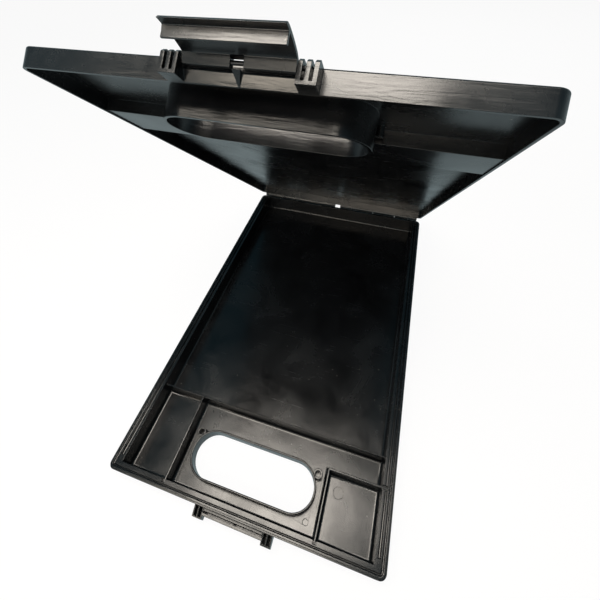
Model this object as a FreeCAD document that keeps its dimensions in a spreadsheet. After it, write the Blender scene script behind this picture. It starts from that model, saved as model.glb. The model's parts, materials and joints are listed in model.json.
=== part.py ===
import FreeCAD, Part
import math
import os

import Sketcher

# Storage clipboard box: a shallow A4 tray with a handle slot, a hinged lid that carries a
# writing clip, and a flap latch. The lid stands half open.
# X runs across the box, Y from the handle to the hinge, Z up from the face it rests on.
# Sizes are in millimetres, angles in degrees.
SIZES = {
    # Shell that both halves share
    "tray_width": 244.0,
    "tray_length": 390.0,
    "corner_radius": 5.5,
    "edge_radius": 1.2,
    "rim_height": 23.0,
    "floor_thickness": 2.0,
    "wall_thickness": 2.0,
    "rear_wall": 3.0,
    "side_band": 10.0,
    "front_band": 7.6,
    # Steps of the tray's rim, from the outside in
    "shoulder_width": 1.2,
    "shoulder_drop": 0.5,
    "rim_lip": 2.6,
    "groove_width": 1.6,
    "groove_depth": 1.5,
    "land_drop": 0.4,
    "guide_rib": 1.4,
    "moat_width": 2.1,
    "moat_drop": 2.8,
    "moat_from_front": 12.0,
    "rim_roof": 1.8,
    # Walls of the compartments, and the notches of the rim that their ends run through
    "divider_height": 19.0,
    "box_wall_height": 20.0,
    "rib_thickness": 1.4,
    "floor_round": 2.5,
    "notch_drop": 4.2,
    "notch_gap": 0.8,
    "notch_rim": 0.8,
    "trough_width": 21.5,
    "left_box_gap": 8.7,
    "right_box_gap": 6.7,
    # Hand hole through both halves
    "handle_length": 115.0,
    "handle_width": 38.0,
    "handle_margin": 8.8,
    "collar_thickness": 1.8,
    "tray_collar_height": 13.5,
    "collar_gap": 0.5,
    # Round bosses beside the hand hole and the pegs above them
    "boss_radius": 4.0,
    "boss_bore": 2.5,
    "boss_height": 12.0,
    "boss_bite": 0.3,
    "peg_radius": 2.0,
    "peg_end_height": 26.0,
    # Ejector marks in the tray floor
    "mark_depth": 0.3,
    "small_mark_radius": 2.4,
    "small_mark_from_front": 16.9,
    "small_mark_across": 56.0,
    "large_mark_radius": 4.5,
    "large_mark_from_front": 44.6,
    "large_mark_across": 78.2,
    # Lid
    "parting_gap": 0.3,
    "lid_height": 11.0,
    "plate_thickness": 2.2,
    "lid_wall": 1.6,
    "lid_collar_inset": 2.4,
    "lid_opening": 47.5,
    # Recess for the clip across the lid
    "channel_step": 1.5,
    "channel_length": 30.5,
    "channel_depth": 8.0,
    "channel_end_margin": 5.0,
    # Hinge along the rear edge
    "hinge_offset": 5.0,
    "hinge_rise": 0.2,
    "knuckle_radius": 3.7,
    "knuckle_gap": 0.3,
    "knuckle_root": 2.0,
    "hinge_pin_radius": 1.25,
    "pin_clearance": 0.05,
    "pin_end_inset": 0.5,
    # Ribbed blocks of the latch, on the lid and on the tray
    "latch_half_span": 26.0,
    "block_rib": 1.9,
    "block_slot": 1.4,
    "block_floor": 1.7,
    "block_reach": 8.0,
    "block_round": 1.5,
    "lid_block_top_gap": 0.5,
    "keeper_bottom": 9.0,
    "keeper_top": 21.0,
    "keeper_tip_drop": 4.0,
    "keeper_rib": 1.2,
    "pocket_rise": 2.5,
    # Bar under which the flap's rib hooks, with its pad and middle web
    "bar_thickness": 1.9,
    "bar_height": 2.9,
    "bar_bottom": 16.5,
    "bar_from_wall": 3.4,
    "pad_thickness": 2.2,
    "pad_bottom": 12.0,
    "pad_top": 20.0,
    "web_thickness": 2.0,
    # Sloping apron under the flap's barrels, on the lid's front wall, and its middle gusset
    "apron_reach": 2.7,
    "apron_height": 4.3,
    "apron_edge": 0.5,
    "gusset_width": 4.0,
    "gusset_foot": 0.6,
    "gusset_reach": 6.0,
    # Latch flap, thrown open
    "latch_axis_reach": 4.9,
    "latch_axis_height": 7.6,
    "flap_side_gap": 0.8,
    "flap_barrel": 4.3,
    "flap_notch": 6.0,
    "flap_reach": 20.3,
    "flap_rise": 4.4,
    "flap_thickness": 1.8,
    "flap_tip_thickness": 1.2,
    "catch_thickness": 1.2,
    "catch_drop": 4.7,
    "latch_pin_radius": 1.0,
    "latch_pin_inset": 0.3,
    # Writing clip in the recess
    "clip_width": 86.0,
    "clip_sheet": 1.2,
    "bracket_sheet": 1.0,
    "bracket_depth": 22.0,
    "ear_half_width": 4.0,
    "clip_gap": 0.3,
    "pivot_offset": 1.25,
    "pivot_height": 7.2,
    "clip_pin_radius": 1.5,
    "clip_pin_head_radius": 2.6,
    "clip_pin_head": 1.0,
    "thumb_reach": 14.5,
    "jaw_reach": 22.0,
    "crown_height": 5.7,
    "jaw_thickness": 1.6,
    "flange_drop": 3.0,
    # Rivets that hold the clip to the lid
    "rivet_across": 25.0,
    "rivet_radius": 1.55,
    "rivet_hole_radius": 1.6,
    "rivet_head_radius": 3.0,
    "rivet_head": 0.8,
    # Coil spring on the clip's pin
    "spring_wire": 1.2,
    "spring_coil_radius": 3.0,
    "spring_turn_gap": 0.5,
    "spring_leg": 6.5,
    # Every cut runs past its solid by this much
    "overrun": 1.0,
}

# Edges of the hinge's knuckles, from the middle out, as shares of half the width
KNUCKLE_EDGE_SHARES = (0.033, 0.238, 0.443, 0.705, 0.861, 0.963)
# Direction from the centre of the hand hole's round end to the boss beside it
BOSS_DIRECTION_SHARES = (0.797, 0.604)
# Stations of the flap's arched plate: shares of its reach and of its rise
FLAP_REACH_SHARES = (0.18, 0.36, 0.55, 0.74, 0.88, 1.0)
FLAP_RISE_SHARES = (0.60, 0.76, 0.88, 0.95, 0.985, 1.0)
# The station of the plate that carries the catch rib
CATCH_STATION = 3
# Back of the flap above its barrels, from its plate to its rear edge: shares of the barrel's
# half height along Y, and of the plate's thickness and the half height above the axis
FLAP_BACK_RUN_SHARES = (-1.0, 0.4, 1.0)
FLAP_BACK_THICKNESS_SHARES = (0.9, 0.3, 0.0)
FLAP_BACK_RISE_SHARES = (1.0, 1.0, 0.8)
# Stations of the clip's upper face in front of the crown and behind it: shares of each
# reach, and of the crown's height above the pivot
THUMB_REACH_SHARES = (0.55, 1.0)
THUMB_RISE_SHARES = (0.91, 0.72)
JAW_REACH_SHARES = (0.45, 0.91)
JAW_RISE_SHARES = (0.78, 0.48)
# Lobes of the clip's side flanges: shares of the reaches at their top and bottom corners
FLANGE_TOP_SHARE = 0.52
FLANGE_BOTTOM_SHARE = 0.22
SPRING_TURNS = 6
# Points along each turn at which the gap to the next turn is measured
GAP_SAMPLES = 24
# Angles, in degrees, where the coil leaves for its lower and its upper leg
SPRING_START_ANGLE = -72
SPRING_END_ANGLE = 90
# Edges nearer than this to a level count as lying in it
SAME_PLACE = 1e-6
# Ways to build: the height above the ground, the distance to the right or the one to the front
PLANES = {"up": "XY_Plane", "across": "YZ_Plane", "forward": "XZ_Plane"}
SIDES = {"left": -1, "right": 1}


class Size:
    """A length with the formula that ties it to the sheet."""

    def __init__(self, value, formula):
        self.value = value
        self.formula = formula

    def combined(self, other, sign, result):
        return Size(result, f"({self.formula} {sign} {other.formula})")

    def __add__(self, other):
        other = as_size(other)
        return self.combined(other, "+", self.value + other.value)

    def __sub__(self, other):
        other = as_size(other)
        return self.combined(other, "-", self.value - other.value)

    def __mul__(self, other):
        other = as_size(other)
        return self.combined(other, "*", self.value * other.value)

    def __truediv__(self, other):
        other = as_size(other)
        return self.combined(other, "/", self.value / other.value)

    def __neg__(self):
        return Size(-self.value, f"(-{self.formula})")

    __radd__ = __add__
    __rmul__ = __mul__


def as_size(number):
    """Give a count, a share or zero the same form as a length of the sheet."""
    return number if isinstance(number, Size) else Size(float(number), f"({number})")


class SizeTable:
    """The sheet's cells, each one read as a Size under its alias."""

    def __init__(self, doc, table):
        self.sheet = doc.addObject("Spreadsheet::Sheet", "sizes")
        for row, (name, value) in enumerate(table.items(), start=1):
            self.sheet.set(f"A{row}", name)
            self.sheet.set(f"B{row}", str(value))
            self.sheet.setAlias(f"B{row}", name)
            setattr(self, name, Size(value, f"sizes.{name}"))
        doc.recompute()


# Outlines that a sketch can draw


class Polygon:
    """A closed outline of straight lines through its corners."""

    def __init__(self, corners):
        self.corners = [(as_size(x), as_size(y)) for x, y in corners]

    def draw(self, sketch):
        points = [FreeCAD.Vector(x.value, y.value, 0) for x, y in self.corners]
        lines = []
        for start, end in zip(points, points[1:] + points[:1]):
            lines.append(sketch.addGeometry(Part.LineSegment(start, end), False))
        for line, follower in zip(lines, lines[1:] + lines[:1]):
            sketch.addConstraint(Sketcher.Constraint("Coincident", line, 2, follower, 1))
        for line, (x, y) in zip(lines, self.corners):
            tie_point(sketch, line, 1, x, y)


class Rounded:
    """A closed outline along the sketch's two axes, its corners rounded by one radius each."""

    def __init__(self, corners, radii):
        self.corners = [(as_size(x), as_size(y)) for x, y in corners]
        self.radii = [as_size(radius) for radius in radii]

    def draw(self, sketch):
        points = [FreeCAD.Vector(x.value, y.value, 0) for x, y in self.corners]
        count = len(points)
        ways = [(points[(i + 1) % count] - points[i]).normalize() for i in range(count)]
        lines = []
        for i in range(count):
            start = points[i] + ways[i] * self.radii[i].value
            follower = (i + 1) % count
            end = points[follower] - ways[i] * self.radii[follower].value
            lines.append(sketch.addGeometry(Part.LineSegment(start, end), False))
        for i in range(count):
            self.tie_line(sketch, lines[i], ways[i], self.corners[i])
            self.join(sketch, lines[i - 1], lines[i], points[i], ways[i - 1], ways[i], self.radii[i])

    def tie_line(self, sketch, line, way, corner):
        upright = abs(way.y) > abs(way.x)
        sketch.addConstraint(Sketcher.Constraint("Vertical" if upright else "Horizontal", line))
        kind = "DistanceX" if upright else "DistanceY"
        tie(sketch, kind, line, 1, corner[0] if upright else corner[1])

    def join(self, sketch, before, after, point, way_in, way_out, radius):
        if radius.value == 0:
            sketch.addConstraint(Sketcher.Constraint("Coincident", before, 2, after, 1))
            return
        enter = point - way_in * radius.value
        leave = point + way_out * radius.value
        centre = enter + way_out * radius.value
        turns_left = way_in.cross(way_out).z > 0
        first, last = (enter, leave) if turns_left else (leave, enter)
        start_angle = math.atan2(first.y - centre.y, first.x - centre.x)
        circle = Part.Circle(centre, FreeCAD.Vector(0, 0, 1), radius.value)
        quarter = Part.ArcOfCircle(circle, start_angle, start_angle + math.pi / 2)
        arc = sketch.addGeometry(quarter, False)
        enter_end, leave_end = (1, 2) if turns_left else (2, 1)
        sketch.addConstraint(Sketcher.Constraint("Tangent", before, 2, arc, enter_end))
        sketch.addConstraint(Sketcher.Constraint("Tangent", arc, leave_end, after, 1))
        number = sketch.addConstraint(Sketcher.Constraint("Radius", arc, radius.value))
        sketch.setExpression(f"Constraints[{number}]", radius.formula)


class Disc:
    """A full circle."""

    def __init__(self, x, y, radius):
        self.x = as_size(x)
        self.y = as_size(y)
        self.radius = as_size(radius)

    def draw(self, sketch):
        centre = FreeCAD.Vector(self.x.value, self.y.value, 0)
        circle = Part.Circle(centre, FreeCAD.Vector(0, 0, 1), self.radius.value)
        number = sketch.addGeometry(circle, False)
        tie_point(sketch, number, 3, self.x, self.y)
        radius = sketch.addConstraint(Sketcher.Constraint("Radius", number, self.radius.value))
        sketch.setExpression(f"Constraints[{radius}]", self.radius.formula)


def tie(sketch, kind, geometry, position, size):
    """Hold one point of the sketch at a distance from its origin, bound to the sheet."""
    number = sketch.addConstraint(Sketcher.Constraint(kind, -1, 1, geometry, position, size.value))
    sketch.setExpression(f"Constraints[{number}]", size.formula)


def tie_point(sketch, geometry, position, x, y):
    """Hold one point of the sketch at x and y, both bound to the sheet."""
    tie(sketch, "DistanceX", geometry, position, x)
    tie(sketch, "DistanceY", geometry, position, y)


def rectangle(x0, y0, x1, y1, radius=0):
    """A rectangle with four equal corners."""
    return Rounded([(x0, y0), (x1, y0), (x1, y1), (x0, y1)], [radius] * 4)


class Stadium:
    """A slot along the sketch's first axis, centred on it: two straight sides, two half circles."""

    def __init__(self, half_length, y, half_width):
        self.reach = half_length - half_width
        self.low = y - half_width
        self.high = y + half_width
        self.radius = half_width

    def half_circle(self, way):
        """The round end on the right, way 1, or on the left, way -1."""
        middle = (self.low.value + self.high.value) / 2
        centre = FreeCAD.Vector(self.reach.value * way, middle, 0)
        circle = Part.Circle(centre, FreeCAD.Vector(0, 0, 1), self.radius.value)
        start_angle = -math.pi / 2 * way
        return Part.ArcOfCircle(circle, start_angle, start_angle + math.pi)

    def draw(self, sketch):
        left = -self.reach.value
        right = self.reach.value
        low = self.low.value
        high = self.high.value
        bottom_line = Part.LineSegment(FreeCAD.Vector(left, low, 0), FreeCAD.Vector(right, low, 0))
        top_line = Part.LineSegment(FreeCAD.Vector(right, high, 0), FreeCAD.Vector(left, high, 0))
        bottom = sketch.addGeometry(bottom_line, False)
        right_end = sketch.addGeometry(self.half_circle(1), False)
        top = sketch.addGeometry(top_line, False)
        left_end = sketch.addGeometry(self.half_circle(-1), False)
        ring = (bottom, right_end, top, left_end)
        for before, after in zip(ring, ring[1:] + ring[:1]):
            sketch.addConstraint(Sketcher.Constraint("Tangent", before, 2, after, 1))
        sketch.addConstraint(Sketcher.Constraint("Horizontal", bottom))
        tie_point(sketch, bottom, 1, -self.reach, self.low)
        tie(sketch, "DistanceX", bottom, 2, self.reach)
        tie(sketch, "DistanceY", top, 1, self.high)


# Features of a body


def new_body(doc, name):
    """An empty body whose label is the sub-part's name."""
    body = doc.addObject("PartDesign::Body", name)
    body.Label = name
    return body


def add_sketch(body, name, direction, start, outlines):
    """A sketch square to the direction, at the start along it."""
    sketch = body.newObject("Sketcher::SketchObject", f"{name}_outline")
    role = PLANES[direction]
    plane = next(item for item in body.Origin.OriginFeatures if item.Role == role)
    sketch.AttachmentSupport = (plane, "")
    sketch.MapMode = "FlatFace"
    sketch.setExpression("AttachmentOffset.Base.z", as_size(start).formula)
    for outline in outlines:
        outline.draw(sketch)
    return sketch


def add(body, name, direction, start, end, *outlines):
    """Add material between two stations along the direction."""
    sketch = add_sketch(body, name, direction, start, outlines)
    feature = body.newObject("PartDesign::Pad", name)
    feature.Profile = sketch
    feature.setExpression("Length", (end - start).formula)
    body.Document.recompute()
    return feature


def cut(body, name, direction, start, end, *outlines):
    """Take material away between two stations along the direction."""
    before = body.Shape.Volume
    sketch = add_sketch(body, name, direction, start, outlines)
    feature = body.newObject("PartDesign::Pocket", name)
    feature.Profile = sketch
    feature.Reversed = True
    feature.setExpression("Length", (end - start).formula)
    body.Document.recompute()
    if body.Shape.Volume >= before:
        raise ValueError(f"{body.Name}: {name} cuts nothing")
    return feature


def round_edges(body, name, radius, chosen):
    """Round the edges of the body's last shape that the test picks."""
    last = body.Tip
    names = [f"Edge{number}" for number, edge in enumerate(last.Shape.Edges, start=1) if chosen(edge)]
    feature = body.newObject("PartDesign::Fillet", name)
    feature.Base = (last, names)
    feature.setExpression("Radius", radius.formula)
    body.Document.recompute()
    return feature


def lies_at_height(height):
    """A test for the edges that lie in one level plane."""
    def test(edge):
        box = edge.BoundBox
        return max(abs(box.ZMin - height.value), abs(box.ZMax - height.value)) < SAME_PLACE
    return test


def side_span(side, near, far):
    """Stations from low to high of a stretch on the left or the right."""
    return (near, far) if SIDES[side] > 0 else (-far, -near)


# Places that several sub-parts share


class Layout:
    """Places worked out once from the sheet's sizes, in the closed box's coordinates."""

    def __init__(self, s):
        self.front = -s.tray_length / 2
        self.rear = s.tray_length / 2
        self.half_width = s.tray_width / 2
        self.inner_x = self.half_width - s.side_band
        self.inner_front = self.front + s.front_band
        self.inner_rear = self.rear - s.rear_wall
        self.groove_outer_x = self.half_width - s.rim_lip
        self.groove_inner_x = self.groove_outer_x - s.groove_width
        self.groove_front = self.front + s.rim_lip
        self.groove_radius = s.corner_radius - s.rim_lip
        self.land_front = self.groove_front + s.groove_width
        self.notch_floor = s.rim_height - s.notch_drop
        self.handle_half_length = s.handle_length / 2
        self.handle_half_width = s.handle_width / 2
        self.collar_half_length = self.handle_half_length + s.collar_thickness
        self.collar_half_width = self.handle_half_width + s.collar_thickness
        self.handle_y = self.inner_front + s.handle_margin + self.collar_half_width
        self.collar_rear = self.handle_y + self.collar_half_width
        self.divider_y = self.collar_rear + s.trough_width
        self.left_wall_x = self.collar_half_length + s.left_box_gap
        self.right_wall_x = self.collar_half_length + s.right_box_gap
        boss_distance = self.collar_half_width + s.boss_radius - s.boss_bite
        round_end_x = self.handle_half_length - self.handle_half_width
        self.boss_x = round_end_x + boss_distance * BOSS_DIRECTION_SHARES[0]
        self.boss_y = self.handle_y + boss_distance * BOSS_DIRECTION_SHARES[1]
        self.lid_bottom = s.rim_height + s.parting_gap
        self.lid_top = self.lid_bottom + s.lid_height
        self.plate_inside = self.lid_top - s.plate_thickness
        self.lid_inner_x = self.half_width - s.lid_wall
        self.lid_inner_front = self.front + s.lid_wall
        self.lid_inner_radius = s.corner_radius - s.lid_wall
        self.channel_front = self.collar_rear + s.channel_step
        self.channel_rear = self.channel_front + s.channel_length
        self.channel_floor = self.lid_top - s.channel_depth
        self.channel_half_span = self.half_width - s.channel_end_margin
        self.channel_middle = (self.channel_front + self.channel_rear) / 2
        self.hinge_y = self.rear + s.hinge_offset
        self.hinge_z = s.rim_height + s.hinge_rise
        self.knuckle_edges = [self.half_width * share for share in KNUCKLE_EDGE_SHARES]
        self.block_width = s.block_rib * 3 + s.block_slot * 2
        self.block_outer_x = s.latch_half_span + self.block_width
        self.latch_y = self.front - s.latch_axis_reach
        self.latch_z = self.lid_bottom + s.latch_axis_height
        self.flap_half_span = s.latch_half_span - s.flap_side_gap
        self.pivot_y = self.channel_middle + s.pivot_offset
        self.pivot_z = self.channel_floor + s.pivot_height
        self.clip_half_width = s.clip_width / 2
        self.flange_inner_x = self.clip_half_width - s.clip_sheet
        self.ear_outer_x = self.flange_inner_x - s.clip_gap

    def lid_placement(self, s):
        """The formula that swings a lid piece open about the hinge's axis."""
        centre = f"vector(0; {self.hinge_y.formula}; {self.hinge_z.formula})"
        turn = f"rotation(vector(1; 0; 0); -{s.lid_opening.formula})"
        return f"placement(vector(0; 0; 0); {turn}; {centre})"


# Tray


def build_tray(doc, s, at):
    """The tray: a floor, a double wall hollow from below, its rim, ribs and hinge knuckles."""
    body = new_body(doc, "base_tray")
    outline = rectangle(-at.half_width, at.front, at.half_width, at.rear, s.corner_radius)
    add(body, "tray_block", "up", as_size(0), s.rim_height, outline)
    round_edges(body, "tray_foot_round", s.edge_radius, lies_at_height(as_size(0)))
    cut_tray_rim(body, s, at)
    cut_tray_hollow(body, s, at)
    cut_rim_notches(body, s, at)
    add_tray_ribs(body, s, at)
    round_edges(body, "floor_rounds", s.floor_round, lies_at_height(s.floor_thickness))
    add_rib_tips(body, s, at)
    add_tray_handle(body, s, at)
    add_tray_bosses(body, s, at)
    cut_tray_marks(body, s, at)
    add_keeper(body, s, at)
    add_knuckles(body, s, at, first=1, reach_up=False)
    return body


def cut_tray_rim(body, s, at):
    """The main cavity, then the land, the groove and the moats around its mouth, and the shoulder
    outside it, which stops at the rear wall."""
    past_rim = s.rim_height + s.overrun
    cavity = rectangle(-at.inner_x, at.inner_front, at.inner_x, at.inner_rear)
    cut(body, "cavity", "up", s.floor_thickness, past_rim, cavity)
    past_x = at.half_width + s.overrun
    past_rear = at.rear + s.corner_radius
    around = rectangle(-past_x, at.front - s.overrun, past_x, past_rear + s.overrun)
    lip_x = at.half_width - s.shoulder_width
    lip = rectangle(
        -lip_x, at.front + s.shoulder_width, lip_x, past_rear, s.corner_radius - s.shoulder_width
    )
    cut(body, "shoulder", "up", s.rim_height - s.shoulder_drop, past_rim, around, lip)
    land_radius = at.groove_radius - s.groove_width
    land = rectangle(-at.groove_inner_x, at.land_front, at.groove_inner_x, at.inner_rear, land_radius)
    cut(body, "land", "up", s.rim_height - s.land_drop, past_rim, land)
    outer = rectangle(
        -at.groove_outer_x, at.groove_front, at.groove_outer_x, at.inner_rear, at.groove_radius
    )
    inner = rectangle(
        -at.groove_inner_x, at.land_front, at.groove_inner_x, at.inner_rear - s.groove_width, land_radius
    )
    cut(body, "rim_groove", "up", s.rim_height - s.groove_depth, past_rim, outer, inner)
    moat_far = at.groove_inner_x - s.guide_rib
    moats = []
    for side in SIDES:
        start, end = side_span(side, moat_far - s.moat_width, moat_far)
        moats.append(rectangle(start, at.front + s.moat_from_front, end, at.inner_rear))
    cut(body, "moats", "up", s.rim_height - s.moat_drop, past_rim, *moats)


def cut_tray_hollow(body, s, at):
    """The space between the tray's outer and inner walls, open below, on three sides."""
    outer_x = at.half_width - s.wall_thickness
    outer_front = at.front + s.wall_thickness
    inner_x = at.inner_x + s.wall_thickness
    inner_front = at.inner_front - s.wall_thickness
    rear = at.rear - s.corner_radius
    outer_round = s.corner_radius - s.wall_thickness
    inner_round = s.wall_thickness
    hollow = Rounded(
        [
            (-outer_x, outer_front), (outer_x, outer_front), (outer_x, rear), (inner_x, rear),
            (inner_x, inner_front), (-inner_x, inner_front), (-inner_x, rear), (-outer_x, rear),
        ],
        [outer_round, outer_round, 0, 0, inner_round, inner_round, 0, 0],
    )
    cut(body, "wall_hollow", "up", -s.overrun, at.notch_floor - s.rim_roof, hollow)


def cut_rim_notches(body, s, at):
    """Notches of the rim that the ends of the two boxes' walls run through."""
    front_outer = at.land_front + s.notch_rim
    past_front = at.inner_front + s.overrun
    side_outer = at.groove_inner_x - s.notch_rim
    left = rectangle(
        -at.left_wall_x - s.rib_thickness - s.notch_gap, front_outer,
        -at.left_wall_x + s.notch_gap, past_front,
    )
    right = rectangle(
        at.right_wall_x - s.notch_gap, front_outer,
        at.right_wall_x + s.rib_thickness + s.notch_gap, past_front,
    )
    rear = rectangle(
        at.inner_x - s.overrun, at.collar_rear - s.rib_thickness - s.notch_gap,
        side_outer, at.collar_rear + s.notch_gap,
    )
    cut(body, "rim_notches", "up", at.notch_floor, s.rim_height + s.overrun, left, right, rear)


def add_tray_ribs(body, s, at):
    """Walls between the compartments, each one reaching into the walls that it meets."""
    grip = s.wall_thickness / 2
    divider = rectangle(
        -at.inner_x - grip, at.divider_y, at.inner_x + grip, at.divider_y + s.rib_thickness
    )
    add(body, "divider", "up", s.floor_thickness / 2, s.divider_height, divider)
    left_box = rectangle(
        -at.left_wall_x - s.rib_thickness, at.inner_front - grip,
        -at.left_wall_x, at.divider_y + s.rib_thickness / 2,
    )
    add(body, "left_box_wall", "up", s.floor_thickness / 2, s.box_wall_height, left_box)
    right_rear = at.collar_rear
    right_box = Polygon([
        (at.right_wall_x, at.inner_front - grip),
        (at.right_wall_x + s.rib_thickness, at.inner_front - grip),
        (at.right_wall_x + s.rib_thickness, right_rear - s.rib_thickness),
        (at.inner_x + grip, right_rear - s.rib_thickness),
        (at.inner_x + grip, right_rear),
        (at.right_wall_x, right_rear),
    ])
    add(body, "right_box_wall", "up", s.floor_thickness / 2, s.box_wall_height, right_box)


def add_rib_tips(body, s, at):
    """The ends of the two boxes' walls, out to the far side of the rim's notches."""
    grip = s.wall_thickness / 2
    front_outer = at.land_front + s.notch_rim
    left = rectangle(
        -at.left_wall_x - s.rib_thickness, front_outer, -at.left_wall_x, at.inner_front + grip
    )
    right = rectangle(
        at.right_wall_x, front_outer, at.right_wall_x + s.rib_thickness, at.inner_front + grip
    )
    rear = rectangle(
        at.inner_x - grip, at.collar_rear - s.rib_thickness,
        at.groove_inner_x - s.notch_rim, at.collar_rear,
    )
    start = at.notch_floor - s.rim_roof / 2
    for name, outline in (("left", left), ("right", right), ("rear", rear)):
        add(body, f"rib_tip_{name}", "up", start, s.box_wall_height, outline)


def add_tray_handle(body, s, at):
    """The collar around the hand hole, and the hole through the floor."""
    collar = Stadium(at.collar_half_length, at.handle_y, at.collar_half_width)
    add(body, "tray_collar", "up", as_size(0), s.tray_collar_height, collar)
    hole = Stadium(at.handle_half_length, at.handle_y, at.handle_half_width)
    cut(body, "tray_hand_hole", "up", -s.overrun, s.tray_collar_height + s.overrun, hole)


def add_tray_bosses(body, s, at):
    """Two round bosses behind the ends of the hand hole, each with a blind bore."""
    bosses = [Disc(at.boss_x * way, at.boss_y, s.boss_radius) for way in SIDES.values()]
    add(body, "bosses", "up", s.floor_thickness / 2, s.boss_height, *bosses)
    bores = [Disc(at.boss_x * way, at.boss_y, s.boss_bore) for way in SIDES.values()]
    cut(body, "boss_bores", "up", s.floor_thickness, s.boss_height + s.overrun, *bores)


def cut_tray_marks(body, s, at):
    """Shallow round marks that the mould's ejector pins leave in the floor."""
    small = Disc(s.small_mark_across, at.front + s.small_mark_from_front, s.small_mark_radius)
    large = Disc(s.large_mark_across, at.front + s.large_mark_from_front, s.large_mark_radius)
    depth = s.floor_thickness - s.mark_depth
    cut(body, "ejector_marks", "up", depth, s.floor_thickness + s.mark_depth, small, large)


def add_keeper(body, s, at):
    """Ribbed blocks on the tray's front wall, with the bar that the latch hooks under."""
    root = at.front + s.wall_thickness / 2
    tip = at.front - s.block_reach
    profile = Polygon([
        (root, s.keeper_bottom), (tip, s.keeper_bottom),
        (tip, s.keeper_top - s.keeper_tip_drop), (at.front, s.keeper_top), (root, s.keeper_top),
    ])
    pocket_floor = s.keeper_bottom + s.block_floor
    past_top = s.keeper_top + s.overrun
    pocket = Polygon([
        (at.front, pocket_floor), (at.front, past_top), (tip + s.keeper_rib, past_top),
        (tip + s.keeper_rib, pocket_floor + s.pocket_rise),
    ])
    add_ribbed_blocks(body, s, at, "keeper_block", profile, s.keeper_rib, pocket)
    pad = Polygon([
        (root, s.pad_bottom), (at.front - s.pad_thickness, s.pad_bottom + s.pad_thickness),
        (at.front - s.pad_thickness, s.pad_top), (root, s.pad_top),
    ])
    across_start = -s.latch_half_span
    across_end = s.latch_half_span
    add(body, "keeper_pad", "across", across_start, across_end, pad)
    bar_inner = at.front - s.bar_from_wall
    bar_top = s.bar_bottom + s.bar_height
    bar = rectangle(bar_inner - s.bar_thickness, s.bar_bottom, bar_inner, bar_top)
    grip = s.keeper_rib / 2
    add(body, "keeper_bar", "across", across_start - grip, across_end + grip, bar)
    web = rectangle(bar_inner - s.bar_thickness / 2, s.bar_bottom, root, bar_top)
    add(body, "keeper_web", "across", -s.web_thickness / 2, s.web_thickness / 2, web)
    shelf = rectangle(bar_inner - s.bar_thickness, s.keeper_bottom, root, pocket_floor)
    add(body, "keeper_shelf", "across", across_start - grip, across_end + grip, shelf)


def add_ribbed_blocks(body, s, at, name, profile, rib, slot):
    """One block each side of the latch, with two slots that leave three ribs."""
    slot_width = (at.block_width - rib * 3) / 2
    for side in SIDES:
        start, end = side_span(side, s.latch_half_span, at.block_outer_x)
        add(body, f"{name}_{side}", "across", start, end, profile)
        for number in (1, 2):
            slot_near = s.latch_half_span + rib * number + slot_width * (number - 1)
            slot_start, slot_end = side_span(side, slot_near, slot_near + slot_width)
            cut(body, f"{name}_{side}_slot_{number}", "across", slot_start, slot_end, slot)


def add_knuckles(body, s, at, first, reach_up):
    """Every second knuckle of the hinge, each a barrel on a foot, bored for its pin."""
    root = at.rear - s.knuckle_root
    foot_inner = s.knuckle_gap
    if reach_up:
        foot = rectangle(root, at.hinge_z + foot_inner, at.hinge_y, at.hinge_z + s.knuckle_radius)
    else:
        foot = Polygon([
            (root, at.hinge_z - foot_inner), (root, at.hinge_z - s.knuckle_radius - s.hinge_offset),
            (at.rear, at.hinge_z - s.knuckle_radius - s.hinge_offset),
            (at.hinge_y, at.hinge_z - s.knuckle_radius), (at.hinge_y, at.hinge_z - foot_inner),
        ])
    barrel = Disc(at.hinge_y, at.hinge_z, s.knuckle_radius)
    for side in SIDES:
        for index in range(first, len(at.knuckle_edges) - 1, 2):
            near = at.knuckle_edges[index]
            far = at.knuckle_edges[index + 1] - s.knuckle_gap
            start, end = side_span(side, near, far)
            add(body, f"knuckle_{side}_{index}", "across", start, end, barrel)
            add(body, f"knuckle_foot_{side}_{index}", "across", start, end, foot)
    bore = Disc(at.hinge_y, at.hinge_z, s.hinge_pin_radius + s.pin_clearance)
    bore_end = at.half_width + s.overrun
    cut(body, "hinge_bore", "across", -bore_end, bore_end, bore)


# Lid, described closed and then swung open


def build_lid(doc, s, at):
    """The lid shell: plate, walls, hand hole collar, clip recess, latch blocks and hinge."""
    body = new_body(doc, "lid_shell")
    outline = rectangle(-at.half_width, at.front, at.half_width, at.rear, s.corner_radius)
    add(body, "lid_block", "up", at.lid_bottom, at.lid_top, outline)
    round_edges(body, "lid_top_round", s.edge_radius, lies_at_height(at.lid_top))
    lid_rear = at.rear - s.rear_wall
    cavity = Rounded(
        [
            (-at.lid_inner_x, at.lid_inner_front), (at.lid_inner_x, at.lid_inner_front),
            (at.lid_inner_x, lid_rear), (-at.lid_inner_x, lid_rear),
        ],
        [at.lid_inner_radius] * 4,
    )
    cut(body, "lid_cavity", "up", at.lid_bottom - s.overrun, at.plate_inside, cavity)
    add_clip_recess(body, s, at)
    add_lid_handle(body, s, at)
    pegs = [Disc(at.boss_x * way, at.boss_y, s.peg_radius) for way in SIDES.values()]
    peg_top = at.plate_inside + s.plate_thickness / 2
    add(body, "pegs", "up", s.peg_end_height, peg_top, *pegs)
    add_latch_mount(body, s, at)
    add_knuckles(body, s, at, first=0, reach_up=True)
    body.setExpression("Placement", at.lid_placement(s))
    return body


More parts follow.
